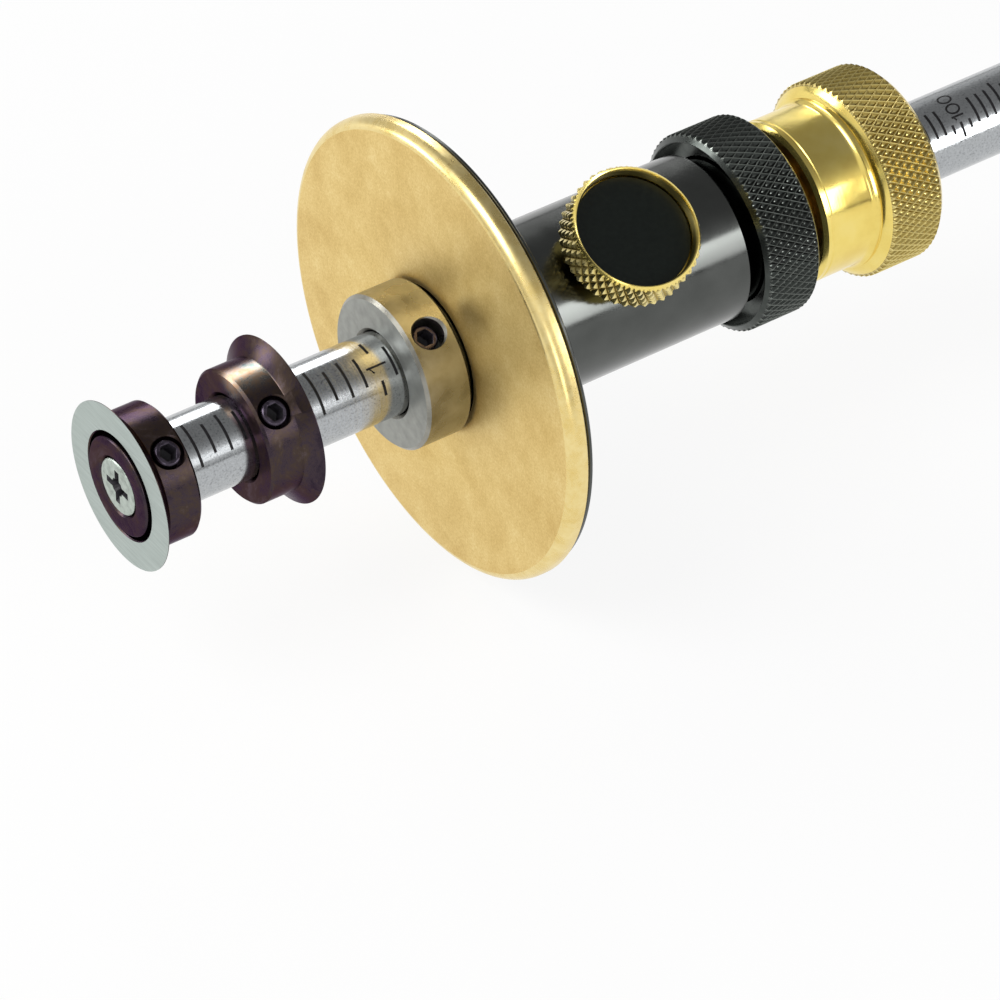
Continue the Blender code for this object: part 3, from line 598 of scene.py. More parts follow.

# Oxide with a painted highlight: the same black, painted bright on top of the rear collar, with
# the straw, rose and blue-green of the hardening heat round the painted highlight.
oxide_painted_highlight = start_finish("black_oxide_painted_highlight", 1.0, 0.28, "#3E3434", OXIDE_TINT)
old_heat = add_noise(oxide_painted_highlight, 170.0, 8.0, 0.84, 0.4)
old_black = add_ramp(oxide_painted_highlight, old_heat, OXIDE_COLOURS)
highlight_colours = add_ramp(
    oxide_painted_highlight,
    old_heat,
    [(0.36, "#6F857F"), (0.46, "#A09C92"), (0.54, "#B5967A"), (0.64, "#9C6C4E")],
)
highlight_patch_level = add_node(oxide_painted_highlight, "ShaderNodeAttribute", {"attribute_name": "painted_highlight_patch"}, {})
layers = {0: highlight_patch_level.outputs["Fac"], 6: old_black, 7: highlight_colours}
highlight_mix = add_node(oxide_painted_highlight, "ShaderNodeMix", {"data_type": "RGBA"}, layers)
drive(oxide_painted_highlight, "Base Color", highlight_mix.outputs[2])
roughen_by(oxide_painted_highlight, old_heat, 0.22, 0.36)

outline = [
    (REAR_CUTTER_FACE - CUTTER_CHAMFER, BORE_RADIUS),
    (REAR_CUTTER_FACE, BORE_RADIUS + CUTTER_CHAMFER),
    *[(REAR_CUTTER_FACE - back, radius) for back, radius in cutter_back],
]
rear_cutter = turn_piece("rear_wheel_cutter", outline, 160, closed=True)
# The painted highlight: a soft band along the top of the collar's outside, brightest straight up.
highlight_share = np.zeros(len(rear_cutter.data.vertices), dtype=np.float32)
for corner in rear_cutter.data.vertices:
    reach = math.hypot(corner.co.y, corner.co.z) / MM
    station = corner.co.x / MM + OVERALL_LENGTH
    turn = math.degrees(math.atan2(corner.co.z, -corner.co.y))
    if 6.0 < reach < 6.42 and station < REAR_CUTTER_FACE - CUTTER_BEVEL_LENGTH:
        highlight_share[corner.index] = math.exp(-(((turn - HIGHLIGHT_PATCH_ANGLE) / HIGHLIGHT_PATCH_SPREAD) ** 2))
painted_highlight_patch = rear_cutter.data.attributes.new("painted_highlight_patch", "FLOAT", "POINT")
painted_highlight_patch.data.foreach_set("value", highlight_share)
drill_screw_hole(rear_cutter, CUTTER_COLLAR_RADIUS, REAR_SCREW_STATION, REAR_SCREW_ANGLE)
pick_end(rear_cutter, REAR_CUTTER_FACE)
finish_piece(
    rear_cutter, [oxide_painted_highlight, ground_face], "rear_cutter", ["rear_cutter"]
)

make_set_screw(
    "rear_socket_screw",
    "rear_cutter_set_screw",
    CUTTER_COLLAR_RADIUS - SET_SCREW_SINK,
    REAR_SCREW_STATION,
    REAR_SCREW_ANGLE,
)


# === Washer and screw at the front ===
# A thick black washer sits in the cutter's face, and a plated cross-head screw
# through its countersink draws the cutter onto the end of the rod.
WASHER_RADIUS = 4.75
WASHER_PROUD = 0.25
WASHER_THICKNESS = 1.45
WASHER_HOLE = 1.75
SCREW_HEAD_RADIUS = 2.7
SCREW_SEAT_RADIUS = 2.92
SCREW_SHANK_RADIUS = 1.45
SCREW_LENGTH = 10.7
SCREW_CONE_START = 0.22 - WASHER_PROUD
SCREW_CONE_END = 0.95
CROSS_REACH = 2.1
CROSS_WIDTH = 0.72
CROSS_DEPTH = 1.25
WASHER_EDGE = 0.04
CROSS_TIP_HEIGHT = 0.42
CROSS_TIP_WIDTH = 0.8
CROSS_SPARE = 0.5
DRIVER_RADIUS = 1.05
DRIVER_TIP = 0.35

outline = [
    (WASHER_THICKNESS - WASHER_PROUD, WASHER_HOLE),
    (SCREW_CONE_END, WASHER_HOLE),
    (0.12 - WASHER_PROUD, SCREW_SEAT_RADIUS),
    (-WASHER_PROUD, SCREW_SEAT_RADIUS + 0.1),
    (-WASHER_PROUD, WASHER_RADIUS - 0.15),
    (0.15 - WASHER_PROUD, WASHER_RADIUS),
    (WASHER_THICKNESS - WASHER_PROUD, WASHER_RADIUS),
]
washer = turn_piece("countersunk_washer", outline, 128, closed=True)
ease_edges(washer, WASHER_EDGE)
finish_piece(washer, [black_oxide], "rod", ["cutter_washer"])

# Plated screw: pale zinc, soft from the plating, with shallow pits where the driver has slipped.
zinc_plate = start_finish("zinc_plated_screw", 1.0, 0.36, "#C4CAC3")
plating = add_noise(zinc_plate, 1500.0, 4.0, 0.6)
colour_by(zinc_plate, plating, [(0.3, "#8C948D"), (0.5, "#B0BAB1"), (0.7, "#BFC8C0")])
roughen_by(zinc_plate, plating, 0.3, 0.48)
raise_by(zinc_plate, plating, 0.03)

outline = [
    (-WASHER_PROUD, SCREW_HEAD_RADIUS - 0.12),
    (0.1 - WASHER_PROUD, SCREW_HEAD_RADIUS),
    (SCREW_CONE_START, SCREW_HEAD_RADIUS),
    (SCREW_CONE_END, SCREW_SHANK_RADIUS),
    (SCREW_LENGTH, SCREW_SHANK_RADIUS),
]
cutter_screw = turn_piece("cross_head_screw", outline, 96)
for lean in (0.0, 90.0):
    bpy.ops.object.select_all(action="DESELECT")
    middle = (CROSS_DEPTH - WASHER_PROUD - CROSS_SPARE) / 2 - 0.15
    bpy.ops.mesh.primitive_cube_add(
        size=1.0,
        location=((middle - OVERALL_LENGTH) * MM, 0.0, 0.0),
        scale=((CROSS_DEPTH + CROSS_SPARE) * MM, CROSS_WIDTH * MM, 2 * CROSS_REACH * MM),
    )
    driver = bpy.context.object
    bpy.ops.object.transform_apply(location=True, rotation=True, scale=True)
    for corner in driver.data.vertices:
        deep = corner.co.x > (middle - OVERALL_LENGTH) * MM
        corner.co.z *= CROSS_TIP_HEIGHT if deep else 1.0
        corner.co.y *= CROSS_TIP_WIDTH if deep else 1.0
    driver.data.transform(Matrix.Rotation(math.radians(lean), 4, "X"))
    cut_away(cutter_screw, driver)
outline = [(-0.6, DRIVER_RADIUS), (CROSS_DEPTH - WASHER_PROUD + 0.1, DRIVER_TIP)]
driver = turn_piece("driver_point", outline, 8)
cut_away(cutter_screw, driver)
head_taper = (SCREW_HEAD_RADIUS - SCREW_SHANK_RADIUS) / (SCREW_CONE_END - SCREW_CONE_START)
# The cross recess takes the painted shade.
pick_faces(
    cutter_screw,
    lambda station, reach, _: 0.05 - WASHER_PROUD < station < CROSS_DEPTH
    and reach < SCREW_HEAD_RADIUS - (station - SCREW_CONE_START) * head_taper - 0.25,
)
ease_edges(cutter_screw, WASHER_EDGE)
finish_piece(
    cutter_screw, [zinc_plate, socket_painted_shade], "cutter_screw", ["cutter_screw"]
)


# === Stop collar ===
# A plain bright steel ring that slides on the rod in front of the fence. It is
# faced and turned smooth, and one deep-set socket screw holds it.
STOP_RADIUS = 7.45
STOP_FRONT = 27.5
STOP_LENGTH = 4.75
STOP_CHAMFER = 0.3
STOP_SCREW_ANGLE = 56.5
STOP_SCREW_SINK = 1.2
STOP_SCREW_STATION = STOP_FRONT + STOP_LENGTH / 2

# Turned collar steel: warmer and darker than the rod, with fine turning marks round it.
collar_steel = start_finish("turned_collar_steel", 1.0, 0.2, "#A09E96")
turning = add_noise(collar_steel, (7000.0, 500.0, 500.0))
tone_level = add_noise(collar_steel, 420.0, 4.0)
colour_by(collar_steel, tone_level, [(0.3, "#7C7A72"), (0.55, "#95938A"), (0.75, "#A4A298")])
roughen_by(collar_steel, tone_level, 0.22, 0.36)
raise_by(collar_steel, turning, 0.0025)

# Faced end: the same steel where the facing tool has left it dull and paler.
faced_steel = start_finish("faced_collar_end", 1.0, 0.42, "#9A9B95")
end_marks = add_noise(faced_steel, 900.0, 4.0)
colour_by(faced_steel, end_marks, [(0.3, "#8F908B"), (0.7, "#A5A6A0")])
raise_by(faced_steel, end_marks, 0.004)

outline = [
    (STOP_FRONT, BORE_RADIUS + STOP_CHAMFER),
    (STOP_FRONT, STOP_RADIUS - STOP_CHAMFER),
    (STOP_FRONT + STOP_CHAMFER, STOP_RADIUS),
    (STOP_FRONT + STOP_LENGTH - STOP_CHAMFER, STOP_RADIUS),
    (STOP_FRONT + STOP_LENGTH, STOP_RADIUS - STOP_CHAMFER),
    (STOP_FRONT + STOP_LENGTH, BORE_RADIUS + STOP_CHAMFER),
    (STOP_FRONT + STOP_LENGTH - STOP_CHAMFER, BORE_RADIUS),
    (STOP_FRONT + STOP_CHAMFER, BORE_RADIUS),
]
stop_collar = turn_piece("turned_stop_collar", outline, 160, closed=True)
drill_screw_hole(stop_collar, STOP_RADIUS, STOP_SCREW_STATION, STOP_SCREW_ANGLE)
pick_end(stop_collar, STOP_FRONT)
finish_piece(
    stop_collar, [collar_steel, faced_steel], "stop_collar", ["stop_collar"]
)

make_set_screw(
    "stop_socket_screw",
    "stop_collar_set_screw",
    STOP_RADIUS - STOP_SCREW_SINK,
    STOP_SCREW_STATION,
    STOP_SCREW_ANGLE,
)


# === Fence plate ===
# A thick brass disc pressed on the body's spigot. Its face is lapped to a satin,
# and its front edge is rounded over and buffed.
FENCE_FACE = 32.5
FENCE_RADIUS = 22.225
FENCE_THICKNESS = 1.85
FENCE_BORE = 6.75
FENCE_RELIEF_RADIUS = STOP_RADIUS + 0.25
FENCE_RELIEF_DEPTH = 0.3
FENCE_MIDDLE_RADIUS = 14.0
FENCE_EDGE_ROUND = 1.1
FENCE_EDGE_LENGTH = 1.2
FENCE_REAR_CHAMFER = 0.15
EDGE_STEPS = 10
GRAIN_SHARE = 0.45


def add_math(finish, operation, *levels):
    """Adds one sum on levels, and gives its result."""
    sockets = dict(enumerate(levels))
    return add_node(finish, "ShaderNodeMath", {"operation": operation}, sockets).outputs["Value"]


def quarter_turn(steps):
    """Gives the angles that divide a quarter turn into steps."""
    return [math.radians(90.0 * step / steps) for step in range(steps + 1)]


def blend_levels(finish, first, share, second):
    """Blends two patterns' levels: a share of the first, and the rest of the second."""
    rest = add_math(finish, "MULTIPLY", second, 1.0 - share)
    return add_math(finish, "MULTIPLY_ADD", first, share, rest)


# Satin brass: pale and soft, with faint clouds from handling, and grain and pits from lapping.
satin_brass = start_finish("lapped_satin_brass", 1.0, 0.44, "#E0C888")
clouds = add_noise(satin_brass, 210.0, 6.0, 0.72)
pits = add_noise(satin_brass, 1500.0)
grain = add_noise(satin_brass, 4500.0, 3.0, 0.7)
mottle = blend_levels(satin_brass, grain, GRAIN_SHARE, clouds)
colour_by(
    satin_brass,
    mottle,
    [(0.36, "#D4B369"), (0.46, "#DFC179"), (0.54, "#E7CB85"), (0.64, "#EFD898")],
)
roughen_by(satin_brass, clouds, 0.42, 0.48)
raise_by(satin_brass, pits, 0.006)

# Buffed rim: the same brass, rubbed smoother round the edge, and painted paler as a highlight.
rim_brass_painted_highlight = start_finish("buffed_brass_rim_painted_highlight", 1.0, 0.3, "#E0C67E")
buffing = add_noise(rim_brass_painted_highlight, 500.0, 5.0, 0.7)
colour_by(rim_brass_painted_highlight, buffing, [(0.3, "#E2C67A"), (0.7, "#F3E0A2")])
roughen_by(rim_brass_painted_highlight, buffing, 0.25, 0.31)

outline = [
    (FENCE_FACE + FENCE_THICKNESS, FENCE_BORE),
    (FENCE_FACE + FENCE_RELIEF_DEPTH, FENCE_BORE),
    (FENCE_FACE, FENCE_RELIEF_RADIUS),
    (FENCE_FACE, FENCE_MIDDLE_RADIUS),
    *[
        (
            FENCE_FACE + FENCE_EDGE_LENGTH * (1.0 - math.cos(bend)),
            FENCE_RADIUS - FENCE_EDGE_ROUND * (1.0 - math.sin(bend)),
        )
        for bend in quarter_turn(EDGE_STEPS)
    ],
    (FENCE_FACE + FENCE_THICKNESS - FENCE_REAR_CHAMFER, FENCE_RADIUS),
    (FENCE_FACE + FENCE_THICKNESS, FENCE_RADIUS - FENCE_REAR_CHAMFER),
]
fence_plate = turn_piece("brass_fence_plate", outline, 256, closed=True)
# The rounded rim takes the paler brass with its painted highlight.
pick_faces(
    fence_plate,
    lambda _, reach, facing: reach > FENCE_RADIUS - FENCE_EDGE_ROUND and facing > -0.97,
)
finish_piece(fence_plate, [satin_brass, rim_brass_painted_highlight], "head", ["fence_plate"], 35.0)


# === Body ===
# Flange, tube and threaded neck turned from one aluminium bar and anodised
# black. The flange backs the fence plate, and a cone runs down to the tube.
FLANGE_FRONT = 34.6
FLANGE_RADIUS = 21.9
FLANGE_RIM = 0.4
SPIGOT_RADIUS = 6.5
HUB_RADIUS = 9.6
HUB_END = 38.4
HUB_FILLET = 1.3
TUBE_RADIUS = 8.15
TUBE_END = 62.75
NECK_RADIUS = 7.0
NECK_END = 66.65
BODY_BORE = 6.1
BODY_BORE_END = 57.0
O_RING_BORE = 5.4
O_RING_STATION = 53.65
GROOVE_RADIUS = 6.7
GROOVE_LENGTH = 0.6
TUBE_CHAMFER = 0.25
EDGE_BREAK = 0.1
SPIGOT_FRONT = FENCE_FACE + 0.1
FILLET_STEPS = 8
FILLET_SHAPE = 1.6
LOCK_ANGLE = 57.5
KNOB_STATION = 50.65
LOCK_HOLE_RADIUS = 2.2
PIN_STATION = 57.65
PIN_RADIUS = 0.75
DRILL_LOW = 3.0
DRILL_HIGH = 10.0

# Black anodise on turned aluminium: deep black and satin, with a soft broad shine.
black_anodise = start_finish("satin_black_anodise", 1.0, 0.24, "#565856")
skin = add_noise(black_anodise, 340.0, 4.0)
colour_by(black_anodise, skin, [(0.3, "#525452"), (0.7, "#5A5C5A")])
roughen_by(black_anodise, skin, 0.14, 0.21)

outline = [
    (NECK_END, BODY_BORE),
    (BODY_BORE_END, BODY_BORE),
    (BODY_BORE_END, O_RING_BORE),
    (O_RING_STATION, O_RING_BORE),
    (O_RING_STATION, BORE_RADIUS),
    (SPIGOT_FRONT, BORE_RADIUS),
    (SPIGOT_FRONT, SPIGOT_RADIUS),
    (FLANGE_FRONT, SPIGOT_RADIUS),
    (FLANGE_FRONT, FLANGE_RADIUS - EDGE_BREAK),
    (FLANGE_FRONT + EDGE_BREAK, FLANGE_RADIUS),
    (FLANGE_FRONT + FLANGE_RIM - EDGE_BREAK, FLANGE_RADIUS),
    (FLANGE_FRONT + FLANGE_RIM, FLANGE_RADIUS - EDGE_BREAK),
    *[
        (
            HUB_END + HUB_FILLET * math.sin(bend),
            TUBE_RADIUS + (HUB_RADIUS - TUBE_RADIUS) * (1.0 - math.sin(bend)) ** FILLET_SHAPE,
        )
        for bend in quarter_turn(FILLET_STEPS)
    ],
    (TUBE_END - TUBE_CHAMFER, TUBE_RADIUS),
    (TUBE_END, TUBE_RADIUS - TUBE_CHAMFER),
    (TUBE_END, GROOVE_RADIUS),
    (TUBE_END + GROOVE_LENGTH, GROOVE_RADIUS),
    (TUBE_END + 0.75, NECK_RADIUS),
    (NECK_END - 0.2, NECK_RADIUS),
    (NECK_END, NECK_RADIUS - 0.2),
]
fence_body = turn_piece("anodised_body", outline, 224, closed=True)
for name, radius, station, angle in (
    ("lock_drill", LOCK_HOLE_RADIUS, KNOB_STATION, LOCK_ANGLE),
    ("pin_drill", PIN_RADIUS + 0.05, PIN_STATION, LOCK_ANGLE + 180.0),
):
    drill = turn_piece(name, [(DRILL_LOW, radius), (DRILL_HIGH, radius)], 48)
    point_outwards(drill, station, angle)
    cut_away(fence_body, drill)
finish_piece(fence_body, [black_anodise], "head", ["fence_body"], 25.0)


# === Lock knob ===
# A brass thumb screw with a diamond knurl round it. Its end is counterbored,
# and a plain black disc is set in the bottom.
KNOB_RADIUS = 6.2
KNOB_LOW = 8.85
KNOB_TOP = 12.45
KNOB_CHAMFER = 0.2
KNOB_RIM = 0.6
DISC_TOP = 11.2
DISC_RADIUS = 5.5
KNOB_SHANK_RADIUS = 1.95
KNOB_SHANK_LOW = 5.65
NEAR = 0.004
KNURL_SAMPLES = 12
# The knurls' painted shade and highlight: its share of their colour, and how it spreads over the
# pits' walls and grooves.
KNURL_SHADE_SHARE = 0.75
RIDGE_WIDTH = 0.08
PIT_WALL_SHADE = 7.0
PEAK_SIZE = 1.12
GROOVE_SHADE = 2.2
KNOB_KNURLS_ROUND = 40
KNOB_KNURL_PITCH = 1.68
KNOB_SHOULDER = 0.6
KNOB_KNURL_TOP = KNOB_TOP - 0.42
KNOB_KNURL_DEPTH = 0.32
KNOB_KNURL_PROUD = 0.13


def divide_length(piece, spans):
    """Divides the turned surface. A span has two stations, a least radius and its rows."""
    for low, high, radius, rows in spans:

        def crosses(*corners):
            stations = sorted(corner.x / MM + OVERALL_LENGTH for corner in corners)
            reach = min(math.hypot(corner.y, corner.z) / MM for corner in corners)
            return math.dist(stations, (low, high)) < NEAR and reach > radius

        divide_edges(piece, crosses, rows - 1)


def press_knurl(
    piece, spans, low, high, radius, round_count, pitch, depth, proud=0.0, pointed=False
):
    """Presses a 30 degree diamond knurl, with a crossing at the second span's start.

    The plain knurl has thin crossing ridges at the radius and rounded pits between them. The
    pointed one has pyramids, which stand proud of the radius, between crossing grooves. The
    knurl_painted_shade attribute is 1 where shade is painted, on the pits' walls and in the
    grooves, and 0 on the ridges, the pits' floors and the peaks, which take a painted highlight.
    """
    divide_length(piece, spans)
    mesh = piece.data
    spots = np.empty(len(mesh.vertices) * 3)
    mesh.vertices.foreach_get("co", spots)
    spots = spots.reshape(-1, 3)
    along = spots[:, 0] / MM + OVERALL_LENGTH
    reach = np.hypot(spots[:, 1], spots[:, 2]) / MM
    turns = np.arctan2(spots[:, 2], spots[:, 1]) / (2 * math.pi) * round_count
    rows = (along - spans[1][0]) / pitch
    rising = np.abs(2 * np.mod(turns + rows, 1.0) - 1)
    falling = np.abs(2 * np.mod(turns - rows, 1.0) - 1)
    inside = 1 - np.maximum(rising, falling)
    # Painted shade: 1 in the grooves and on the pits' walls, 0 on the ridges, floors and peaks,
    # which are painted light as a highlight.
    if pointed:
        drop = depth * (1 - np.minimum(inside * PEAK_SIZE, 1.0))
        knurl_shade = 1 - np.minimum(inside * GROOVE_SHADE, 1.0)
    else:
        bowl = np.clip((inside - RIDGE_WIDTH) / (1 - RIDGE_WIDTH), 0.0, 1.0)
        drop = depth * (1 - (1 - bowl) ** 2)
        knurl_shade = np.minimum(bowl * PIT_WALL_SHADE, 1.0) * (1 - bowl**2)
    zone = (along > low - 0.001) & (along < high + 0.001) & (reach > radius - 1.5 * depth)
    tone_level = mesh.attributes.new("knurl_painted_shade", "FLOAT", "POINT")
    tone_level.data.foreach_set("value", np.where(zone, knurl_shade, 0.5).astype(np.float32))
    sunk = np.where(zone, np.minimum(reach + proud, radius + proud - drop), reach)
    share = np.where(reach > 0, sunk / np.maximum(reach, 1e-9), 1.0)
    spots[:, 1] *= share
    spots[:, 2] *= share
    mesh.vertices.foreach_set("co", spots.ravel())
    # Each small face is split along its higher diagonal, which keeps the ridges sharp.
    shape = bmesh.new()
    shape.from_mesh(mesh)
    for face in list(shape.faces):
        corners = list(face.verts)
        if len(corners) == 4:
            heights = [math.hypot(corner.co.y, corner.co.z) for corner in corners]
            rise = heights[0] + heights[2] - heights[1] - heights[3]
            if abs(rise) > 0.002 * MM:
                first = 0 if rise > 0 else 1
                bmesh.utils.face_split(face, corners[first], corners[first + 2])
    shape.to_mesh(mesh)
    shape.free()


def mix_dirt(finish, film):
    """Blends a knurl's painted shade and highlight with a film over the whole piece."""
    knurl_shade = add_node(finish, "ShaderNodeAttribute", {"attribute_name": "knurl_painted_shade"}, {})
    return blend_levels(finish, knurl_shade.outputs["Fac"], KNURL_SHADE_SHARE, film)


# Turned brass: rich yellow and bright, with fine tool marks round it.
turned_brass = start_finish("bright_turned_brass", 1.0, 0.2, "#E7CD6A")
tarnish = add_noise(turned_brass, 240.0, 4.0, 0.55)
tool_marks = add_noise(turned_brass, (6500.0, 90.0, 90.0))
colour_by(turned_brass, tarnish, [(0.3, "#E8CC6C"), (0.5, "#F1D97A"), (0.72, "#F5E08C")])
roughen_by(turned_brass, tarnish, 0.13, 0.23)
raise_by(turned_brass, tool_marks, 0.002)

# Knurled brass: a painted highlight on the ridges and peaks, and painted shade on the pits' walls
# and in the grooves between them.
knurled_brass = start_finish("pressed_knurl_brass", 1.0, 0.22, "#C6B86F")
knurl_film = add_noise(knurled_brass, 500.0, 4.0)
knurl_shade_and_film = mix_dirt(knurled_brass, knurl_film)
colour_by(
    knurled_brass,
    knurl_shade_and_film,
    [(0.07, "#F0E0A0"), (0.16, "#E6D48E"), (0.5, "#C8B56E"), (0.85, "#8C7638")],
)
roughen_by(knurled_brass, knurl_film, 0.2, 0.32)

# Moulded disc: semi-gloss black with a very fine grain.
disc_black = start_finish(
    "semi_gloss_black_disc", 0.0, 0.3, "#0B0D0C", {"Specular IOR Level": 0.3}
)
disc_grain = add_noise(disc_black, 3000.0)
colour_by(disc_black, disc_grain, [(0.3, "#040906"), (0.7, "#070E0A")])
roughen_by(disc_black, disc_grain, 0.28, 0.38)
raise_by(disc_black, disc_grain, 0.0008)

outline = [
    (KNOB_SHANK_LOW, KNOB_SHANK_RADIUS),
    (KNOB_LOW, KNOB_SHANK_RADIUS),
    (KNOB_LOW, KNOB_RADIUS - KNOB_CHAMFER),
    (KNOB_LOW + KNOB_CHAMFER, KNOB_RADIUS),
    (KNOB_TOP - KNOB_SHOULDER, KNOB_RADIUS),
    (KNOB_KNURL_TOP, KNOB_RADIUS - 0.05),
    (KNOB_TOP - 0.12, KNOB_RADIUS - 0.22),
    (KNOB_TOP, KNOB_RADIUS - 0.36),
    (KNOB_TOP - 0.04, KNOB_RADIUS - 0.45),
    (KNOB_TOP - 0.2, KNOB_RADIUS - 0.54),
    (KNOB_TOP - 0.4, KNOB_RADIUS - KNOB_RIM),
    (DISC_TOP - 0.55, KNOB_RADIUS - KNOB_RIM),
]
lock_knob = turn_piece("knurled_lock_knob", outline, KNOB_KNURLS_ROUND * KNURL_SAMPLES)
spans = [
    (KNOB_LOW, KNOB_LOW + KNOB_CHAMFER, 5.0, 5),
    (KNOB_LOW + KNOB_CHAMFER, KNOB_TOP - KNOB_SHOULDER, 6.0, 20),
    (KNOB_TOP - KNOB_SHOULDER, KNOB_KNURL_TOP, 6.0, 3),
]
press_knurl(
    lock_knob,
    spans,
    KNOB_LOW,
    KNOB_KNURL_TOP,
    KNOB_RADIUS,
    KNOB_KNURLS_ROUND,
    KNOB_KNURL_PITCH,
    KNOB_KNURL_DEPTH,
    proud=KNOB_KNURL_PROUD,
    pointed=True,
)
pick_faces(
    lock_knob,
    lambda station, reach, _: KNOB_LOW < station < KNOB_KNURL_TOP and reach > KNOB_RADIUS - 0.45,
)
point_outwards(lock_knob, KNOB_STATION, LOCK_ANGLE)
finish_piece(lock_knob, [turned_brass, knurled_brass], "lock_knob", ["lock_knob"], 35.0)

outline = [
    (DISC_TOP - 0.5, DISC_RADIUS),
    (DISC_TOP - 0.06, DISC_RADIUS),
    (DISC_TOP, DISC_RADIUS - 0.06),
]
knob_disc = turn_piece("black_knob_disc", outline, 128)
point_outwards(knob_disc, KNOB_STATION, LOCK_ANGLE)
finish_piece(knob_disc, [disc_black], "lock_knob", ["lock_knob_disc"])


# === Adjuster ring ===
# A black anodised aluminium ring with a diamond knurl. It is threaded on the
# body's neck, with a smooth bevel in front and a narrow plain edge behind.
RING_FRONT = 63.5
RING_REAR = 69.4
RING_RADIUS = 9.75
RING_MOUTH = 8.95
RING_BEVEL = 0.47
RING_REAR_CHAMFER = 0.27
KNURLS_ROUND = 72
KNURL_SIDES = KNURLS_ROUND * KNURL_SAMPLES
KNURL_PITCH = 1.44
KNURL_DEPTH = 0.26
RING_INSIDE_RADIUS = 7.25
RING_MOUTH_DEPTH = 1.4
RING_BACK_BORE = 5.55
RING_BACK_LENGTH = 1.1

# Black anodise over a pressed knurl: deeper black than on the tube, with a painted highlight on the
# ridges and painted shade on the pits' walls.
ring_anodise = start_finish("black_anodised_knurl", 1.0, 0.22, "#373B38")
ring_skin = add_noise(ring_anodise, 700.0, 4.0)
ring_shade_and_skin = mix_dirt(ring_anodise, ring_skin)
colour_by(
    ring_anodise,
    ring_shade_and_skin,
    [(0.07, "#858984"), (0.16, "#757974"), (0.5, "#464A47"), (0.85, "#303331")],
)
roughen_by(ring_anodise, ring_skin, 0.18, 0.27)

outline = [
    (RING_FRONT + 0.05, RING_MOUTH),
    (RING_FRONT, RING_MOUTH + 0.05),
    (RING_FRONT, RING_MOUTH + 0.12),
    (RING_FRONT + RING_BEVEL, RING_RADIUS),
    (RING_REAR - RING_REAR_CHAMFER, RING_RADIUS),
    (RING_REAR, RING_RADIUS - RING_REAR_CHAMFER),
    (RING_REAR, RING_BACK_BORE),
    (RING_REAR - RING_BACK_LENGTH, RING_BACK_BORE),
    (RING_REAR - RING_BACK_LENGTH, RING_INSIDE_RADIUS),
    (RING_FRONT + RING_MOUTH_DEPTH, RING_INSIDE_RADIUS),
    (RING_FRONT + RING_MOUTH_DEPTH, RING_MOUTH),
]
adjuster_ring = turn_piece("knurled_adjuster_ring", outline, KNURL_SIDES, closed=True)
spans = [
    (RING_FRONT, RING_FRONT + RING_BEVEL, 8.98, 6),
    (RING_FRONT + RING_BEVEL, RING_REAR - RING_REAR_CHAMFER, 9.6, 43),
    (RING_REAR - RING_REAR_CHAMFER, RING_REAR, 9.4, 3),
]
press_knurl(
    adjuster_ring,
    spans,
    RING_FRONT + 0.25,
    RING_REAR - RING_REAR_CHAMFER,
    RING_RADIUS,
    KNURLS_ROUND,
    KNURL_PITCH,
    KNURL_DEPTH,
)
finish_piece(
    adjuster_ring, [ring_anodise], "adjuster_ring", ["adjuster_ring"], 28.0
)


# === Clamp nut ===
# Turned from brass bar: a smooth neck with a bevelled lip in front, a fine step,
# and a wide wheel behind with the same diamond knurl as the ring.
NUT_FRONT = 71.35
NUT_NECK_RADIUS = 8.05
NUT_NECK_END = 77.1
NUT_STEP_RADIUS = 8.4
NUT_WHEEL_RADIUS = 9.67
NUT_WHEEL_START = 78.33
NUT_KNURL_FRONT = 78.1
NUT_REAR = 84.1
NUT_WHEEL_CHAMFER = 0.61
NUT_EXIT = 4.32
NUT_BORE = 5.55
NUT_CONE_RADIUS = 5.0
NUT_EXIT_LENGTH = 2.0
NUT_CONE_END = 4.75

outline = [
    (NUT_FRONT, NUT_BORE),
    (NUT_FRONT, NUT_NECK_RADIUS - 0.42),
    (NUT_FRONT + 0.32, NUT_NECK_RADIUS),
    (NUT_FRONT + 0.74, NUT_NECK_RADIUS),
    (NUT_FRONT + 0.82, NUT_NECK_RADIUS - 0.08),
    (NUT_FRONT + 0.94, NUT_NECK_RADIUS - 0.08),
    (NUT_FRONT + 1.02, NUT_NECK_RADIUS),
    (NUT_NECK_END - 0.55, NUT_NECK_RADIUS),
    (NUT_NECK_END - 0.3, NUT_NECK_RADIUS + 0.05),
    (NUT_NECK_END - 0.1, NUT_NECK_RADIUS + 0.2),
    (NUT_NECK_END, NUT_STEP_RADIUS),
    (NUT_NECK_END + 0.3, NUT_STEP_RADIUS),
    (NUT_NECK_END + 0.36, NUT_STEP_RADIUS - 0.06),
    (NUT_NECK_END + 0.44, NUT_STEP_RADIUS - 0.04),
    (NUT_NECK_END + 0.56, NUT_STEP_RADIUS + 0.3),
    (NUT_NECK_END + 0.74, NUT_STEP_RADIUS + 0.62),
    (NUT_KNURL_FRONT, NUT_WHEEL_RADIUS - 0.35),
    (NUT_WHEEL_START, NUT_WHEEL_RADIUS),
    (NUT_REAR - NUT_WHEEL_CHAMFER, NUT_WHEEL_RADIUS),
    (NUT_REAR, NUT_WHEEL_RADIUS - NUT_WHEEL_CHAMFER),
    (NUT_REAR, NUT_EXIT + 0.3),
    (NUT_REAR - 0.3, NUT_EXIT),
    (NUT_REAR - NUT_EXIT_LENGTH, NUT_EXIT),
    (NUT_REAR - NUT_EXIT_LENGTH, NUT_CONE_RADIUS),
    (NUT_REAR - NUT_CONE_END, NUT_BORE),
]
clamp_nut = turn_piece("knurled_clamp_nut", outline, KNURL_SIDES, closed=True)
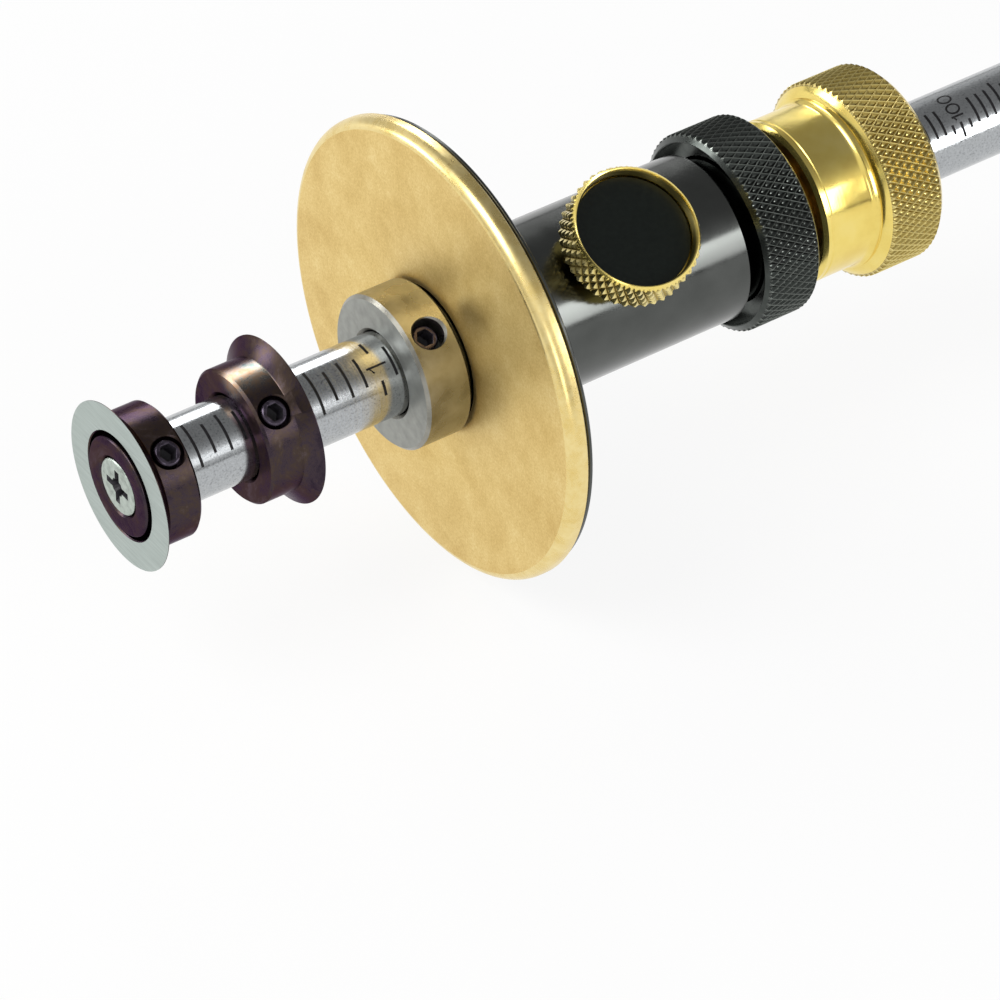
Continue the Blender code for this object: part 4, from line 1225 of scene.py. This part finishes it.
spans = [
    (NUT_KNURL_FRONT, NUT_WHEEL_START, 9.3, 4),
    (NUT_WHEEL_START, NUT_REAR - NUT_WHEEL_CHAMFER, 9.6, 43),
    (NUT_REAR - NUT_WHEEL_CHAMFER, NUT_REAR, 9.0, 6),
]
press_knurl(
    clamp_nut,
    spans,
    NUT_KNURL_FRONT,
    NUT_REAR,
    NUT_WHEEL_RADIUS,
    KNURLS_ROUND,
    KNURL_PITCH,
    KNURL_DEPTH,
)
pick_faces(
    clamp_nut,
    lambda station, reach, _: station > NUT_KNURL_FRONT and reach > NUT_WHEEL_RADIUS - 0.4,
)
finish_piece(clamp_nut, [turned_brass, knurled_brass], "clamp_nut", ["clamp_nut"], 28.0)


# === Hidden works ===
# The collet, its washer and split ring, the guide pin, the lock pad and the
# rubber ring keep their plain shapes and get the finish of the real ones.
spring_nodes = ["thrust_washer", "retaining_ring", "guide_pin"]
for name, metallic, roughness, colour, scale, dark, pale, nodes in (
    # Bronze: brown-gold, turned and a little oily.
    ("turned_bronze", 1.0, 0.3, "#A97F45", 700.0, "#8F6A38", "#BC9254", ["collet"]),
    # Spring steel: blue-grey and oiled.
    ("oiled_spring_steel", 1.0, 0.34, "#5B5C60", 900.0, "#4A4B50", "#6C6D72", spring_nodes),
    # Natural nylon: milky, with a soft sheen.
    ("natural_nylon", 0.0, 0.5, "#DEDACD", 800.0, "#D5D0C1", "#E5E1D6", ["lock_pad"]),
    # Nitrile rubber: matt black.
    ("moulded_nitrile_rubber", 0.0, 0.7, "#1A1A1A", 1200.0, "#151515", "#222222", ["rod_o_ring"]),
):
    finish = start_finish(name, metallic, roughness, colour)
    colour_by(finish, add_noise(finish, scale), [(0.3, dark), (0.7, pale)])
    for node in nodes:
        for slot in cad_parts[node].material_slots:
            slot.material = finish


# === Studio ===
# A plain pale floor just under the fence, soft lamps above and in front, a
# light room all round, and the camera at the photograph's place.
FLOOR_LEVEL = -22.3
FLOOR_SIZE = 6.0
FLOOR_GLOW = 0.88
BLACK_CARD_SIDE = (0.42, 0.12, 0.9)
CAMERA_PLACE = (-381.44, -312.55, 296.70)
CAMERA_TURN = (50.224, 0.0, -34.970)
CAMERA_LENS = 192.57

bpy.ops.object.select_all(action="DESELECT")
bpy.ops.mesh.primitive_plane_add(size=FLOOR_SIZE, location=(0.0, 0.0, FLOOR_LEVEL * MM))
floor = bpy.context.object
floor.name = "pale_floor"
floor_paper = bpy.data.materials.new("pale_paper_sweep")
floor_paper.use_nodes = True
shader = floor_paper.node_tree.nodes["Principled BSDF"]
shader.inputs["Base Color"].default_value = (0.8, 0.8, 0.8, 1.0)
shader.inputs["Roughness"].default_value = 0.9
shader.inputs["Specular IOR Level"].default_value = 0.1
ray = add_node(floor_paper, "ShaderNodeLightPath", {}, {})
glow = add_node(floor_paper, "ShaderNodeEmission", {}, {})
seen = add_math(floor_paper, "MAXIMUM", ray.outputs["Is Camera Ray"], ray.outputs["Is Glossy Ray"])
seen = add_math(floor_paper, "MAXIMUM", seen, ray.outputs["Is Transmission Ray"])
seen = add_math(floor_paper, "MULTIPLY", seen, FLOOR_GLOW)
sides = {0: seen, 1: shader.outputs["BSDF"], 2: glow.outputs["Emission"]}
blend = add_node(floor_paper, "ShaderNodeMixShader", {}, sides)
out = floor_paper.node_tree.nodes["Material Output"]
floor_paper.node_tree.links.new(blend.outputs["Shader"], out.inputs["Surface"])
floor.data.materials.append(floor_paper)

world = bpy.data.worlds.new("light_room")
bpy.context.scene.world = world
world.use_nodes = True
room = world.node_tree.nodes["Background"]
look = add_node(world, "ShaderNodeTexCoord", {}, {}).outputs["Generated"]
sockets = {0: look, 1: BLACK_CARD_SIDE}
toward_card = add_node(world, "ShaderNodeVectorMath", {"operation": "DOT_PRODUCT"}, sockets)
height = add_node(world, "ShaderNodeSeparateXYZ", {}, {"Vector": look}).outputs["Z"]
walls = add_ramp(
    world,
    toward_card.outputs["Value"],
    [(0.0, 0.9), (0.54, 0.9), (0.62, 0.7), (0.7, 0.48), (0.77, 0.36), (0.88, 0.28), (1.0, 0.26)],
)
horizon = add_ramp(
    world,
    height,
    [(0.0, 0.9), (0.004, 0.06), (0.035, 0.06), (0.06, 0.75), (0.3, 0.75), (0.42, 1.0)],
)
sockets = {0: walls, 1: horizon}
light = add_node(world, "ShaderNodeVectorMath", {"operation": "MULTIPLY"}, sockets)
world.node_tree.links.new(light.outputs["Vector"], room.inputs["Color"])

# Soft boxes: each one's place, the point that it is aimed at, its width and height, and its power.
for name, place, aim, width, height, power in (
    ("front_soft_box", (377.0, -640.0, 235.0), (377.0, 0.0, 235.0), 290.0, 370.0, 2.5),
    ("side_soft_box", (85.0, -640.0, 300.0), (85.0, 0.0, 300.0), 90.0, 260.0, 0.1),
    ("back_soft_box", (90.0, 560.0, 335.0), (90.0, 0.0, 0.0), 110.0, 300.0, 0.8),
    ("low_soft_box", (-470.0, -600.0, 150.0), (-150.0, 0.0, 0.0), 200.0, 280.0, 0.5),
    ("rim_soft_box", (-660.0, 560.0, 200.0), (-130.0, 0.0, 0.0), 240.0, 240.0, 1.2),
    ("left_soft_box", (-640.0, 40.0, 620.0), (-150.0, 0.0, 0.0), 420.0, 420.0, 3.0),
):
    bpy.ops.object.select_all(action="DESELECT")
    bpy.ops.object.light_add(type="AREA", location=[far * MM for far in place])
    lamp = bpy.context.object
    lamp.name = name
    lamp.data.shape = "RECTANGLE"
    lamp.data.size = width * MM
    lamp.data.size_y = height * MM
    lamp.data.energy = power
    across, along, up = (end - start for start, end in zip(place, aim))
    tilt = math.atan2(math.hypot(across, along), -up)
    lamp.rotation_euler = (tilt, 0.0, math.atan2(along, across) - math.pi / 2)

bpy.ops.object.camera_add(
    location=[far * MM for far in CAMERA_PLACE],
    rotation=[math.radians(turn) for turn in CAMERA_TURN],
)
camera = bpy.context.object
camera.data.lens = CAMERA_LENS
camera.data.sensor_width = 36.0
camera.data.clip_start = 0.01
camera.data.clip_end = 20.0
bpy.context.scene.camera = camera
bpy.context.scene.view_settings.view_transform = "Standard"
